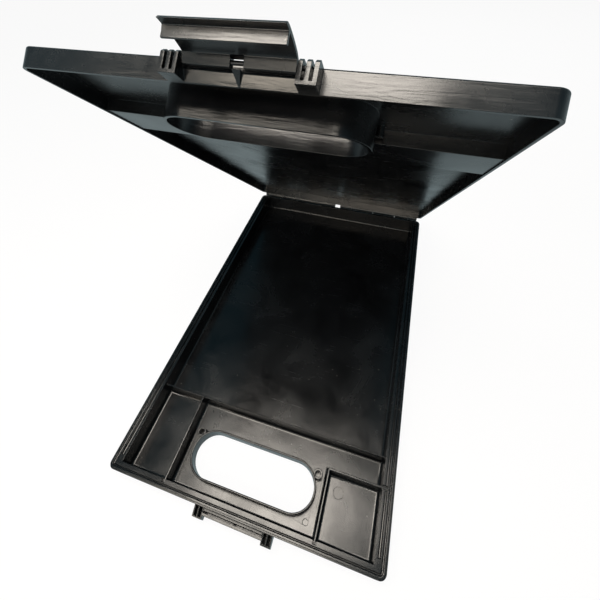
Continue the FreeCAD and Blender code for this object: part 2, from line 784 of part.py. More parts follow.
def add_clip_recess(body, s, at):
    """The recess across the lid's outer face, which stands out inside as a plateau."""
    grip = s.lid_wall / 2
    plateau = rectangle(
        -at.lid_inner_x - grip, at.channel_front - s.plate_thickness,
        at.lid_inner_x + grip, at.channel_rear + s.plate_thickness,
    )
    plateau_low = at.channel_floor - s.plate_thickness
    plateau_high = at.plate_inside + s.plate_thickness / 2
    add(body, "recess_plateau", "up", plateau_low, plateau_high, plateau)
    recess = rectangle(
        -at.channel_half_span, at.channel_front, at.channel_half_span, at.channel_rear, s.edge_radius
    )
    cut(body, "clip_recess", "up", at.channel_floor, at.lid_top + s.overrun, recess)
    holes = [Disc(s.rivet_across * way, at.channel_middle, s.rivet_hole_radius) for way in SIDES.values()]
    cut(body, "rivet_holes", "up", plateau_low - s.overrun, at.channel_floor + s.overrun, *holes)


def add_lid_handle(body, s, at):
    """The deep collar around the lid's hand hole, a little smaller than the tray's hole below it."""
    bottom = s.tray_collar_height + s.collar_gap
    inset = s.lid_collar_inset
    collar = Stadium(at.collar_half_length - inset, at.handle_y, at.collar_half_width - inset)
    add(body, "lid_collar", "up", bottom, at.plate_inside + s.plate_thickness / 2, collar)
    hole = Stadium(at.handle_half_length - inset, at.handle_y, at.handle_half_width - inset)
    cut(body, "lid_hand_hole", "up", bottom - s.overrun, at.lid_top + s.overrun, hole)


def add_latch_mount(body, s, at):
    """Ribbed blocks that hold the flap's pin, and the sloping apron between them."""
    root = at.front + s.lid_wall / 2
    tip = at.front - s.block_reach
    block_top = at.lid_top - s.lid_block_top_gap
    profile = Polygon([
        (root, at.lid_bottom), (tip, at.lid_bottom), (tip, block_top - s.block_round),
        (tip + s.block_round, block_top), (root, block_top),
    ])
    slot = rectangle(
        tip - s.overrun, at.lid_bottom + s.block_floor, at.front, at.lid_top + s.overrun
    )
    add_ribbed_blocks(body, s, at, "hinge_block", profile, s.block_rib, slot)
    apron_top = at.lid_bottom + s.apron_height + s.apron_edge
    apron = Polygon([
        (root, at.lid_bottom), (at.front, at.lid_bottom),
        (at.front - s.apron_reach, apron_top - s.apron_edge),
        (at.front - s.apron_reach, apron_top), (root, apron_top),
    ])
    add(body, "apron", "across", -s.latch_half_span, s.latch_half_span, apron)
    add_gusset(body, s, at, root, apron_top)
    bore = Disc(at.latch_y, at.latch_z, s.latch_pin_radius + s.pin_clearance)
    for side in SIDES:
        near = s.latch_half_span - s.overrun
        far = s.latch_half_span + s.block_rib * 2 + s.block_slot
        start, end = side_span(side, near, far)
        cut(body, f"latch_bore_{side}", "across", start, end, bore)


def add_gusset(body, s, at, root, top):
    """The pointed gusset in the middle of the apron: wide and deep above, an edge below."""
    half = s.gusset_width / 2
    foot = s.gusset_foot / 2
    outline = Polygon([(-foot, at.lid_bottom), (foot, at.lid_bottom), (half, top), (-half, top)])
    add(body, "gusset", "forward", -root, -at.front + s.gusset_reach, outline)
    tip = at.front - s.gusset_reach
    below = Polygon([
        (at.front - foot, at.lid_bottom), (tip, top), (tip - s.overrun, top),
        (tip - s.overrun, at.lid_bottom - s.overrun), (at.front - foot, at.lid_bottom - s.overrun),
    ])
    cut(body, "gusset_slope", "across", -half, half, below)


# Latch flap


def build_flap(doc, s, at):
    """The latch flap, thrown open: two barrels, an arched plate, the catch rib and a thumb lip."""
    body = new_body(doc, "latch_flap")
    half = s.flap_barrel / 2
    y = at.latch_y
    z = at.latch_z
    run = [s.flap_reach * share for share in FLAP_REACH_SHARES]
    rise = [s.flap_rise * share for share in FLAP_RISE_SHARES]
    under = [(y - along, z + up) for along, up in zip(run, rise)]
    over = [(along, up + s.flap_thickness) for along, up in under[:-1]]
    catch_y, catch_z = under[CATCH_STATION]
    catch_far = catch_y - s.catch_thickness
    catch_low = catch_z - s.catch_drop
    tip_y, tip_z = under[-1]
    back_shares = zip(FLAP_BACK_RUN_SHARES, FLAP_BACK_RISE_SHARES, FLAP_BACK_THICKNESS_SHARES)
    back = [
        (y + half * along, z + half * up + s.flap_thickness * thick)
        for along, up, thick in back_shares
    ]
    plate = Polygon([
        (y + half, z - half), (y - half, z - half), (y - half, z + half),
        *under[:CATCH_STATION + 1],
        (catch_y, catch_low), (catch_far, catch_low), (catch_far, catch_z),
        *under[CATCH_STATION + 1:],
        (tip_y, tip_z + s.flap_tip_thickness),
        *reversed(over),
        *back,
    ])
    add(body, "flap_plate", "across", -at.flap_half_span, at.flap_half_span, plate)
    notch = rectangle(y - half - s.overrun, z - half - s.overrun, y + half + s.overrun, z + half)
    cut(body, "barrel_notch", "across", -s.flap_notch / 2, s.flap_notch / 2, notch)
    bore = Disc(y, z, s.latch_pin_radius + s.pin_clearance)
    bore_end = at.flap_half_span + s.overrun
    cut(body, "barrel_bore", "across", -bore_end, bore_end, bore)
    body.setExpression("Placement", at.lid_placement(s))
    return body


# Pins and rivets


def build_rod(doc, name, y, z, radius, start, end):
    """A straight round pin along X."""
    body = new_body(doc, name)
    add(body, f"{name}_rod", "across", start, end, Disc(y, z, radius))
    return body


def build_hinge_pins(doc, s, at):
    """One steel pin in each half of the hinge."""
    near = at.knuckle_edges[0] + s.pin_end_inset
    far = at.knuckle_edges[-1] - s.knuckle_gap - s.pin_end_inset
    pins = []
    for side in SIDES:
        start, end = side_span(side, near, far)
        name = f"hinge_pin_{side}"
        pins.append(build_rod(doc, name, at.hinge_y, at.hinge_z, s.hinge_pin_radius, start, end))
    return pins


def build_latch_pin(doc, s, at):
    """The flap's pin, held in the inner two ribs of both blocks."""
    reach = s.latch_half_span + s.block_rib * 2 + s.block_slot - s.latch_pin_inset
    body = build_rod(doc, "latch_pin", at.latch_y, at.latch_z, s.latch_pin_radius, -reach, reach)
    body.setExpression("Placement", at.lid_placement(s))
    return body


def build_clip_pin(doc, s, at):
    """The clip's pivot pin, with a head outside each flange."""
    reach = at.clip_half_width + s.clip_gap
    body = build_rod(doc, "clip_pin", at.pivot_y, at.pivot_z, s.clip_pin_radius, -reach, reach)
    head = Disc(at.pivot_y, at.pivot_z, s.clip_pin_head_radius)
    for side in SIDES:
        start, end = side_span(side, reach, reach + s.clip_pin_head)
        add(body, f"clip_pin_head_{side}", "across", start, end, head)
    body.setExpression("Placement", at.lid_placement(s))
    return body


def build_rivets(doc, s, at):
    """Two rivets through the bracket and the floor of the recess, headed on both sides."""
    inner_face = at.channel_floor - s.plate_thickness
    outer_face = at.channel_floor + s.bracket_sheet
    rivets = []
    for side, way in SIDES.items():
        body = new_body(doc, f"clip_rivet_{side}")
        x = s.rivet_across * way
        y = at.channel_middle
        add(body, "shank", "up", inner_face, outer_face, Disc(x, y, s.rivet_radius))
        head = Disc(x, y, s.rivet_head_radius)
        add(body, "inner_head", "up", inner_face - s.rivet_head, inner_face, head)
        add(body, "outer_head", "up", outer_face, outer_face + s.rivet_head, head)
        body.setExpression("Placement", at.lid_placement(s))
        rivets.append(body)
    return rivets


# Writing clip


def build_clip_bracket(doc, s, at):
    """The clip's bracket: a plate on the recess floor and an ear at each end for the pin."""
    body = new_body(doc, "clip_bracket")
    floor = at.channel_floor
    plate_top = floor + s.bracket_sheet
    half_depth = s.bracket_depth / 2
    plate = rectangle(
        -at.ear_outer_x, at.channel_middle - half_depth, at.ear_outer_x, at.channel_middle + half_depth
    )
    add(body, "bracket_plate", "up", floor, plate_top, plate)
    ear_inner_x = at.ear_outer_x - s.bracket_sheet
    stem = rectangle(
        at.pivot_y - s.ear_half_width, floor, at.pivot_y + s.ear_half_width, at.pivot_z
    )
    crown = Disc(at.pivot_y, at.pivot_z, s.ear_half_width)
    bore = Disc(at.pivot_y, at.pivot_z, s.clip_pin_radius + s.pin_clearance)
    for side in SIDES:
        start, end = side_span(side, ear_inner_x, at.ear_outer_x)
        add(body, f"ear_stem_{side}", "across", start, end, stem)
        add(body, f"ear_crown_{side}", "across", start, end, crown)
    cut(body, "ear_bores", "across", -at.clip_half_width, at.clip_half_width, bore)
    holes = [Disc(s.rivet_across * way, at.channel_middle, s.rivet_hole_radius) for way in SIDES.values()]
    cut(body, "bracket_rivet_holes", "up", floor - s.overrun, plate_top + s.overrun, *holes)
    body.setExpression("Placement", at.lid_placement(s))
    return body


def build_clip_lever(doc, s, at):
    """The clip's pressed sheet: thumb edge, crown and jaw, with a flange at each end."""
    body = new_body(doc, "clip_lever")
    y = at.pivot_y
    z = at.pivot_z
    thumb = [(y - s.thumb_reach * run, z + s.crown_height * rise)
             for run, rise in zip(THUMB_REACH_SHARES, THUMB_RISE_SHARES)]
    jaw = [(y + s.jaw_reach * run, z + s.crown_height * rise)
           for run, rise in zip(JAW_REACH_SHARES, JAW_RISE_SHARES)]
    jaw_foot = at.lid_top + s.clip_gap
    jaw_end = y + s.jaw_reach
    upper = [*reversed(thumb), (y, z + s.crown_height), *jaw, (jaw_end, jaw_foot)]
    lower = [
        (jaw_end - s.jaw_thickness, jaw_foot),
        *[(along, height - s.clip_sheet) for along, height in reversed(jaw)],
        (y, z + s.crown_height - s.clip_sheet),
        *[(along, height - s.clip_sheet) for along, height in thumb],
    ]
    sheet = Polygon(upper + lower)
    add(body, "pressed_sheet", "across", -at.clip_half_width, at.clip_half_width, sheet)
    top_front = y - s.thumb_reach * FLANGE_TOP_SHARE
    top_rear = y + s.jaw_reach * FLANGE_TOP_SHARE
    flange = Polygon([
        (top_front, z + s.crown_height * THUMB_RISE_SHARES[0] - s.clip_sheet / 2),
        (y - s.jaw_reach * FLANGE_BOTTOM_SHARE, z - s.flange_drop),
        (y + s.jaw_reach * FLANGE_BOTTOM_SHARE, z - s.flange_drop),
        (top_rear, z + s.crown_height * JAW_RISE_SHARES[0] - s.clip_sheet),
        (y, z + s.crown_height - s.clip_sheet / 2),
    ])
    for side in SIDES:
        start, end = side_span(side, at.flange_inner_x, at.clip_half_width)
        add(body, f"flange_{side}", "across", start, end, flange)
    bore = Disc(y, z, s.clip_pin_radius + s.pin_clearance)
    bore_end = at.clip_half_width + s.overrun
    cut(body, "flange_bores", "across", -bore_end, bore_end, bore)
    body.setExpression("Placement", at.lid_placement(s))
    return body


# Coil spring


def coil_point(s, at, angle):
    """The wire's centre at an angle of its coil, and the way it runs there."""
    radius = s.spring_coil_radius.value
    pitch = s.spring_wire.value + s.spring_turn_gap.value
    part_turn = math.radians(SPRING_END_ANGLE - SPRING_START_ANGLE) / (2 * math.pi)
    turns = SPRING_TURNS + part_turn
    turned = (angle - math.radians(SPRING_START_ANGLE)) / (2 * math.pi)
    x = pitch * (turned - turns / 2)
    y = at.pivot_y.value + radius * math.cos(angle)
    z = at.pivot_z.value + radius * math.sin(angle)
    way = FreeCAD.Vector(pitch / (2 * math.pi), -radius * math.sin(angle), radius * math.cos(angle))
    return FreeCAD.Vector(x, y, z), way.normalize()


def tangent_arc(start, way, end):
    """The arc that leaves start along way and reaches end."""
    chord = end - start
    lean = chord.normalize().dot(way)
    corner = start + way * ((end - start).Length / (2 * lean))
    middle = (start + end + corner * (2 * lean)) / (2 + 2 * lean)
    return Part.Arc(start, middle, end).toShape()


def two_arcs(start, way_in, end, way_out):
    """Two arcs from start to end that meet smoothly and keep both directions."""
    gap = end - start
    both = way_in + way_out
    spread = 2 * (1 - way_in.dot(way_out))
    along = gap.dot(both)
    reach = (-along + math.sqrt(along * along + spread * gap.dot(gap))) / spread
    middle = (start + way_in * reach + end - way_out * reach) / 2
    second = tangent_arc(end, way_out * -1, middle)
    return [tangent_arc(start, way_in, middle), second.reversed()]


def build_spring(doc, s, at):
    """The torsion spring: a close coil on the pin, one leg on the bracket, one under the lever."""
    start_angle = math.radians(SPRING_START_ANGLE)
    end_angle = math.radians(SPRING_END_ANGLE) + 2 * math.pi * SPRING_TURNS
    steps = math.ceil((end_angle - start_angle) / (math.pi / 2))
    angles = [start_angle + (end_angle - start_angle) * i / steps for i in range(steps + 1)]
    stations = [coil_point(s, at, angle) for angle in angles]
    first, first_way = stations[0]
    last, last_way = stations[-1]
    low_end = first - first_way * s.spring_leg.value
    high_end = last + last_way * s.spring_leg.value
    edges = [Part.LineSegment(low_end, first).toShape()]
    for (point, way), (next_point, next_way) in zip(stations, stations[1:]):
        edges.extend(two_arcs(point, way, next_point, next_way))
    edges.append(Part.LineSegment(last, high_end).toShape())
    path = Part.Wire(edges)
    wire_radius = s.spring_wire.value / 2
    section = Part.Wire(Part.Circle(low_end, first_way, wire_radius).toShape())
    spring = doc.addObject("Part::Feature", "clip_spring")
    spring.Label = "clip_spring"
    spring.Shape = path.makePipeShell([section], True, True)
    spring.setExpression("Placement", at.lid_placement(s))
    least = least_turn_gap(s, at)
    length = path.Length * math.pi * wire_radius ** 2
    print(f"clip_spring: least gap between turns {least:.2f} mm")
    print(f"clip_spring: volume {spring.Shape.Volume:.1f}, section times length {length:.1f}")
    return spring


def least_turn_gap(s, at):
    """The least space between neighbouring turns, measured on points along the coil."""
    full_turn = 2 * math.pi
    start = math.radians(SPRING_START_ANGLE)
    samples = [start + full_turn * i / GAP_SAMPLES for i in range(GAP_SAMPLES * SPRING_TURNS)]
    points = [coil_point(s, at, angle)[0] for angle in samples]
    # Points less than half a turn apart along the wire belong to one bend, not to two turns
    apart = GAP_SAMPLES // 2
    gaps = [a.distanceToPoint(b) for i, a in enumerate(points) for b in points[i + apart:]]
    return min(gaps) - s.spring_wire.value


# Whole box


def check(doc, pieces):
    """Stop if any object failed, or if a piece's shape is empty, broken or not one solid."""
    for item in doc.Objects:
        if any(state in ("Invalid", "Error") for state in item.State):
            raise ValueError(f"{item.Name} failed: {item.State}")
    for piece in pieces:
        shape = piece.Shape
        if shape.isNull() or not shape.isValid() or len(shape.Solids) != 1:
            raise ValueError(f"{piece.Label}: {len(shape.Solids)} solids, valid {shape.isValid()}")


def main():
    doc = FreeCAD.newDocument("storage_clipboard_box")
    s = SizeTable(doc, SIZES)
    at = Layout(s)
    pieces = [build_tray(doc, s, at), *build_hinge_pins(doc, s, at)]
    pieces += [build_lid(doc, s, at), build_latch_pin(doc, s, at), build_flap(doc, s, at)]
    pieces += [build_clip_bracket(doc, s, at), *build_rivets(doc, s, at), build_clip_pin(doc, s, at)]
    pieces += [build_spring(doc, s, at), build_clip_lever(doc, s, at)]
    doc.recompute()
    check(doc, pieces)
    os.makedirs("parts", exist_ok=True)
    for piece in pieces:
        piece.Shape.exportStep(f"parts/{piece.Label}.step")
        box = piece.Shape.BoundBox
        lengths = f"{box.XLength:.1f} x {box.YLength:.1f} x {box.ZLength:.1f}"
        print(f"{piece.Label}: {piece.Shape.Volume:.0f} mm3, {lengths}")


main()
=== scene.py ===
"""Looks of the storage clipboard box: eased mouldings, wire and pressed-steel pieces, and their finishes."""

import json
import logging
import math
from contextlib import contextmanager
from dataclasses import dataclass
from enum import Enum
from typing import Any, Callable, Iterator, Mapping, Sequence

import bmesh
import bpy
import numpy as np
from mathutils import Matrix, Vector


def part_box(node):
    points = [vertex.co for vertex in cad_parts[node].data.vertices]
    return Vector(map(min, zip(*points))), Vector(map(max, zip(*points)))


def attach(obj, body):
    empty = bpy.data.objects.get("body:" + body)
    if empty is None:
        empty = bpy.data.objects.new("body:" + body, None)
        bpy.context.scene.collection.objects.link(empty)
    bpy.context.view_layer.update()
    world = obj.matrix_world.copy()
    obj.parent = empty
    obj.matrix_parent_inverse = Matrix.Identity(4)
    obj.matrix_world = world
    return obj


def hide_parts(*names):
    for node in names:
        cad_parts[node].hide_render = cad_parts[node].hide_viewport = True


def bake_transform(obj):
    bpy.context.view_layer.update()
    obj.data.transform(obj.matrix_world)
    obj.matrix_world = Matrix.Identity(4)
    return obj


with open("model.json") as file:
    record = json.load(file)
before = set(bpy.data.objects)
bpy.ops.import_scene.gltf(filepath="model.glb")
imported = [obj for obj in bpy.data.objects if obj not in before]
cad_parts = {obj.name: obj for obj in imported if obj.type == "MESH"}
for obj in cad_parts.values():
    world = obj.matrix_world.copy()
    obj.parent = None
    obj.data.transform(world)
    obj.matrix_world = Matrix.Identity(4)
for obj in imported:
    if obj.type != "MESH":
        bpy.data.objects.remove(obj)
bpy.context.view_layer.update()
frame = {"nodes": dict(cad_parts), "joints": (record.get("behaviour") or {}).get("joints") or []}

MM = 0.001
SAME_PLACE = 1e-6
SAME_LEVEL_MM = 0.02
BEND_STEPS = 6
CROWN_DEG = 84
WIRE_EDGE_MM = 0.05
WHITE = (1.0, 1.0, 1.0, 1.0)
PHOTO_PIXELS = 600
log = logging.getLogger("storage_clipboard_box")


class Side(Enum):
    """Left or right of the box, as a sign along X."""

    LEFT = -1
    RIGHT = 1


class Slot(Enum):
    """The record's material slots, one for each kind of finish."""

    PLASTIC = "black_plastic"
    WIRE = "steel_wire"
    SHEET = "plated_sheet"
    SPRING = "spring_wire"


class Axis(Enum):
    """A way that a lathe's axis runs, as the number of the coordinate."""

    ACROSS = 0
    UP = 2


# Places of the lid


@dataclass(frozen=True)
class LidSpace:
    """Carries points of the closed lid to the pose that the lid rests at, both in metres."""

    hinge_y: float
    hinge_z: float
    opening: float

    @classmethod
    def from_joints(cls, joints: Sequence[Mapping[str, Any]]) -> "LidSpace":
        """Read the hinge's axis and the resting angle from the frame's joints.

        Args:
            joints: the frame's joints.

        Returns:
            The lid's space; the joint's lower limit is the way back to closed.
        """
        hinge = next(joint for joint in joints if joint["name"] == "lid_hinge")
        _, y, z = hinge["pos_m"]
        return cls(y, z, -math.radians(hinge["range_deg"][0]))

    def opened(self, points: np.ndarray) -> np.ndarray:
        """Turn closed points about the hinge by the opening angle.

        Args:
            points: an array whose last axis is x, y, z.

        Returns:
            The same points on the open lid.
        """
        along = points[..., 1] - self.hinge_y
        up = points[..., 2] - self.hinge_z
        cos, sin = math.cos(self.opening), math.sin(self.opening)
        moved = np.array(points, float)
        moved[..., 1] = self.hinge_y + along * cos + up * sin
        moved[..., 2] = self.hinge_z - along * sin + up * cos
        return moved

    def placed(self, points: np.ndarray) -> np.ndarray:
        """Carry millimetres on the closed lid to metres on the open one."""
        return self.opened(points * MM)


# Meshes


def new_object(name: str, data: bpy.types.ID) -> bpy.types.Object:
    """Make an object of a mesh, a lamp or a camera, and link it into the scene.

    Args:
        name: the object's name.
        data: the mesh, lamp or camera.

    Returns:
        The linked object.
    """
    piece = bpy.data.objects.new(name, data)
    bpy.context.scene.collection.objects.link(piece)
    return piece


@contextmanager
def edited(mesh: bpy.types.Mesh) -> Iterator[bmesh.types.BMesh]:
    """Open a mesh for the edits of a with block, and write them back at its end.

    Args:
        mesh: the mesh.

    Yields:
        Its vertices, edges and faces.
    """
    edit = bmesh.new()
    edit.from_mesh(mesh)
    yield edit
    edit.to_mesh(mesh)
    edit.free()


def tube_object(name: str, rings: np.ndarray, place: Callable[[np.ndarray], np.ndarray]) -> bpy.types.Object:
    """Make a mesh of a grid of closed rings: quads between neighbours and a flat face on each end,
    all pointing outwards. The object itself stays at the origin.

    Args:
        name: the piece's name.
        rings: an array of shape (rings, points, 3).
        place: carries the points from where they were worked out to where they rest.

    Returns:
        The linked object.
    """
    stations, around = rings.shape[:2]
    index = np.arange(stations * around).reshape(stations, around)
    following = np.roll(index, -1, axis=1)
    quads = np.stack([index[:-1], following[:-1], following[1:], index[1:]], axis=-1)
    faces = [*quads.reshape(-1, 4).tolist(), index[0][::-1].tolist(), index[-1].tolist()]
    mesh = bpy.data.meshes.new(name)
    mesh.from_pydata(place(rings.reshape(-1, 3)).tolist(), [], faces)
    piece = new_object(name, mesh)
    with edited(mesh) as edit:
        bmesh.ops.remove_doubles(edit, verts=edit.verts, dist=SAME_PLACE)
        bmesh.ops.recalc_face_normals(edit, faces=edit.faces)
    return piece


def tube_rings(path: np.ndarray, normal: np.ndarray, binormal: np.ndarray, radius: np.ndarray,
               sides: int) -> np.ndarray:
    """Carry a circle along a path: c(u) + r(u) (n(u) cos t + b(u) sin t).

    Args:
        path: the centreline's points.
        normal: one unit vector square to the path, for the whole path or for each point.
        binormal: the unit vector square to both.
        radius: the circle's radius at each point.
        sides: points round the circle.

    Returns:
        Rings of shape (path points, sides, 3).
    """
    turn = np.linspace(0, 2 * math.pi, sides, endpoint=False)[None, :, None]
    across = np.broadcast_to(normal, path.shape)[:, None]
    up = np.broadcast_to(binormal, path.shape)[:, None]
    return path[:, None] + (across * np.cos(turn) + up * np.sin(turn)) * radius[:, None, None]


def turned(profile: Sequence[tuple[float, float]], centre: Sequence[float], axis: Axis,
           sides: int = 32) -> np.ndarray:
    """Turn a profile of (distance along the axis, radius) pairs on a lathe.

    Args:
        profile: the pairs, from the low end to the high one.
        centre: the point of the axis that the distances start from.
        axis: the way the axis runs.
        sides: points round the axis.

    Returns:
        Rings of shape (profile points, sides, 3).
    """
    along, radius = np.array(profile, float).T
    frame_axes = np.roll(np.eye(3), axis.value, axis=1)
    path = np.array(centre, float) + along[:, None] * frame_axes[0]
    return tube_rings(path, frame_axes[1], frame_axes[2], radius, sides)


def rod_profile(low: float, high: float, radius: float, chamfer: float) -> list[tuple[float, float]]:
    """The profile of a straight rod with a chamfer at each end.

    Args:
        low: the rod's start along its axis.
        high: the rod's end.
        radius: its radius.
        chamfer: how far the chamfer reaches along and across.

    Returns:
        Pairs of (distance along the axis, radius).
    """
    inner = radius - chamfer
    return [(low, inner), (low + chamfer, radius), (high - chamfer, radius), (high, inner)]


def headed_profile(low: float, high: float, radius: float,
                   head: tuple[float, float]) -> list[tuple[float, float]]:
    """The profile of a shank with a flat dome on each end: (h sin t, r cos t).

    Args:
        low: the shank's start along its axis.
        high: the shank's end.
        radius: the shank's radius.
        head: the domes' radius at their rims, and how far they stand out.

    Returns:
        Pairs of (distance along the axis, radius).
    """
    turn = np.radians(np.linspace(0, CROWN_DEG, BEND_STEPS))
    dome = list(zip((head[1] * np.sin(turn)).tolist(), (head[0] * np.cos(turn)).tolist()))
    below, above = [(low - out, r) for out, r in reversed(dome)], [(high + out, r) for out, r in dome]
    return [*below, (low, radius), (high, radius), *above]


def extruded(outline: np.ndarray, stations: np.ndarray) -> np.ndarray:
    """Carry a closed outline of (y, z) points along X, one copy at each station.

    Args:
        outline: the outline's points.
        stations: the X of each copy, rising.

    Returns:
        Rings of shape (stations, outline points, 3).
    """
    flat = np.broadcast_to(outline[None], (len(stations), *outline.shape))
    x = np.broadcast_to(stations[:, None, None], (len(stations), len(outline), 1))
    return np.concatenate([x, flat], axis=-1)


def smooth_curve(points: np.ndarray, steps: int) -> np.ndarray:
    """Run a Catmull-Rom curve through points: each span is the cubic whose end slopes are half the
    step between the neighbours.

    Args:
        points: the points to pass through.
        steps: the samples in each span.

    Returns:
        The curve's samples, the last point included.
    """
    first = 2 * points[0] - points[1]
    last = 2 * points[-1] - points[-2]
    p = np.concatenate([[first], points, [last]])
    t = np.linspace(0, 1, steps, endpoint=False)[None, :, None]
    a, b, c, d = (p[i:len(p) - 3 + i, None] for i in range(4))
    cubic = b + t * (c - a) / 2 + t**2 * (a - 2.5 * b + 2 * c - d / 2) + t**3 * (1.5 * (b - c) + (d - a) / 2)
    return np.concatenate([cubic.reshape(-1, points.shape[1]), points[-1:]])


def ease_edges(piece: bpy.types.Object, width_mm: float, segments: int = 2, from_degrees: float = 32,
               levels: Sequence[tuple[float, float]] = ()) -> None:
    """Round the sharp edges with a live Bevel, and shade the flat faces flat.

    Args:
        piece: the mesh object.
        width_mm: how far from the edge the rounding starts.
        segments: the flats across the rounding.
        from_degrees: edges that turn by less stay as they are.
        levels: pairs of a height and the width that the level edges there have, in millimetres.
    """
    piece.data.polygons.foreach_set("use_smooth", [True] * len(piece.data.polygons))
    widest = max([width_mm, *(width for _, width in levels)])
    bevel = piece.modifiers.new("eased_edges", "BEVEL")
    bevel.width = widest * MM
    bevel.segments = segments
    if levels:
        weigh_edges(piece.data, width_mm / widest, from_degrees, [(z, width / widest) for z, width in levels])
    bevel.limit_method = "WEIGHT" if levels else "ANGLE"
    bevel.angle_limit = math.radians(from_degrees)
    bevel.use_clamp_overlap = False
    bevel.harden_normals = False
    bevel.miter_outer = "MITER_ARC"
    weighted = piece.modifiers.new("flat_faces_shade_flat", "WEIGHTED_NORMAL")
    weighted.mode = "FACE_AREA"
    weighted.weight = 50
    weighted.keep_sharp = True


def weigh_edges(mesh: bpy.types.Mesh, share: float, from_degrees: float,
                levels: Sequence[tuple[float, float]]) -> None:
    """Give each sharp edge its share of the Bevel's width.

    Args:
        mesh: the piece's mesh.
        share: the share of an edge anywhere else.
        from_degrees: edges that turn by less get none.
        levels: pairs of a height in millimetres and the share of the level edges there.
    """
    with edited(mesh) as edit:
        weight = edit.edges.layers.float.new("bevel_weight_edge")
        for edge in edit.edges:
            if len(edge.link_faces) != 2 or edge.calc_face_angle(0) < math.radians(from_degrees):
                continue
            low, high = (vertex.co.z / MM for vertex in edge.verts)
            level = [part for z, part in levels if max(abs(low - z), abs(high - z)) < SAME_LEVEL_MM]
            edge[weight] = level[0] if level else share


def merged_copy(node: str, name: str) -> bpy.types.Object:
    """Copy a frame node's mesh and join its loose triangles.

    Args:
        node: the frame's node.
        name: the new piece's name.

    Returns:
        The linked copy.
    """
    mesh = frame["nodes"][node].data.copy()
    mesh.name = name
    with edited(mesh) as edit:
        bmesh.ops.remove_doubles(edit, verts=edit.verts, dist=2 * SAME_PLACE)
    return new_object(name, mesh)


def settle(piece: bpy.types.Object, body: str | None, material: bpy.types.Material, slot: Slot,
           *nodes: str) -> None:
    """Dress a finished piece, set it on its body and let it stand for its nodes.

    Args:
        piece: the finished piece.
        body: the frame's body that it moves with, or None to leave it unattached.
        material: its finish.
        slot: not used.
        nodes: the frame's nodes that it stands for.
    """
    piece.data.materials.clear()
    piece.data.materials.append(material)
    if body:
        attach(piece, body)
    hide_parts(*nodes)
    log.info("%s rides on %s, %d faces", piece.name, body or "two bodies", len(piece.data.polygons))


# Finishes


def linear(hex_colour: str) -> tuple[float, float, float, float]:
    """Turn an sRGB hex value into Blender's linear colour.

    Args:
        hex_colour: a value such as #0b0c0e.

    Returns:
        Red, green, blue and an alpha of one.
    """
    channels = [int(hex_colour[i:i + 2], 16) / 255 for i in (1, 3, 5)]
    red, green, blue = (c / 12.92 if c <= 0.04045 else ((c + 0.055) / 1.055) ** 2.4 for c in channels)
    return red, green, blue, 1.0


@dataclass(frozen=True)
class Lumps:
    """Soft random lumps: their size, the octaves of finer ones and how strong these are, how much
    they swirl, how deep they are where they shape a surface, and how they are turned about the
    upright. A stretch below one draws them out that way."""

    size_mm: float
    detail: float
    roughness: float
    distortion: float = 0.0
    depth_mm: float = 0.0
    stretch: tuple[float, float, float] = (1.0, 1.0, 1.0)
    turn: float = 0.0


class Nodes:
    """A node tree, with a short call for what the finishes and the studio build most."""

    def __init__(self, tree: bpy.types.NodeTree) -> None:
        """Empty a material's or the world's tree."""
        self.tree = tree
        tree.nodes.clear()

    def add(self, kind: str, settings: Mapping[str, Any] | None = None, **inputs: Any) -> bpy.types.Node:
        """Add a node with its settings, and fill or link its sockets.

        Args:
            kind: the node's type.
            settings: properties of the node.
            inputs: socket values by name, with _ for a space; a socket that is given is linked.

        Returns:
            The new node.
        """
        node = self.tree.nodes.new(kind)
        for key, value in (settings or {}).items():
            setattr(node, key, value)
        for key, value in inputs.items():
            socket = node.inputs[int(key[1:])] if key[1:].isdigit() else node.inputs[key.replace("_", " ")]
            if isinstance(value, bpy.types.NodeSocket):
                self.tree.links.new(value, socket)
            else:
                socket.default_value = value
        return node

    def maths(self, operation: str, *values: Any) -> bpy.types.NodeSocket:
        """Reckon with numbers or sockets, and return the result's socket."""
        numbered = {f"_{i}": value for i, value in enumerate(values)}
        return self.add("ShaderNodeMath", {"operation": operation}, **numbered).outputs[0]

    def mixed(self, share: Any, first: Any, second: Any) -> bpy.types.NodeSocket:
        """Mix two colours: a share of zero shows the first one, and a share of one the second."""
        mix = self.add("ShaderNodeMix", {"data_type": "RGBA"}, Factor=share, _6=first, _7=second)
        return mix.outputs[2]

    def spread(self, value: bpy.types.NodeSocket, reach: tuple[float, float],
               result: tuple[float, float] = (0.0, 1.0), curve: str = "LINEAR") -> bpy.types.NodeSocket:
        """Carry a value that runs through one reach to another, cut off beyond its ends."""
        return self.add("ShaderNodeMapRange", {"interpolation_type": curve}, Value=value, From_Min=reach[0],
                        From_Max=reach[1], To_Min=result[0], To_Max=result[1]).outputs[0]

    def lumps(self, place: bpy.types.NodeSocket, lumps: Lumps) -> bpy.types.NodeSocket:
        """Draw random lumps over a place, and return how high they are there."""
        along = self.add("ShaderNodeMapping", Vector=place, Rotation=(0, 0, lumps.turn),
                         Scale=lumps.stretch).outputs[0]
        return self.add("ShaderNodeTexNoise", Vector=along, Scale=1 / (lumps.size_mm * MM),
                        Detail=lumps.detail, Roughness=lumps.roughness,
                        Distortion=lumps.distortion).outputs["Fac"]


def new_material(name: str) -> tuple[bpy.types.Material, Nodes]:
    """Start an empty material, and return it with its nodes."""
    material = bpy.data.materials.new(name)
    material.use_nodes = True
    return material, Nodes(material.node_tree)


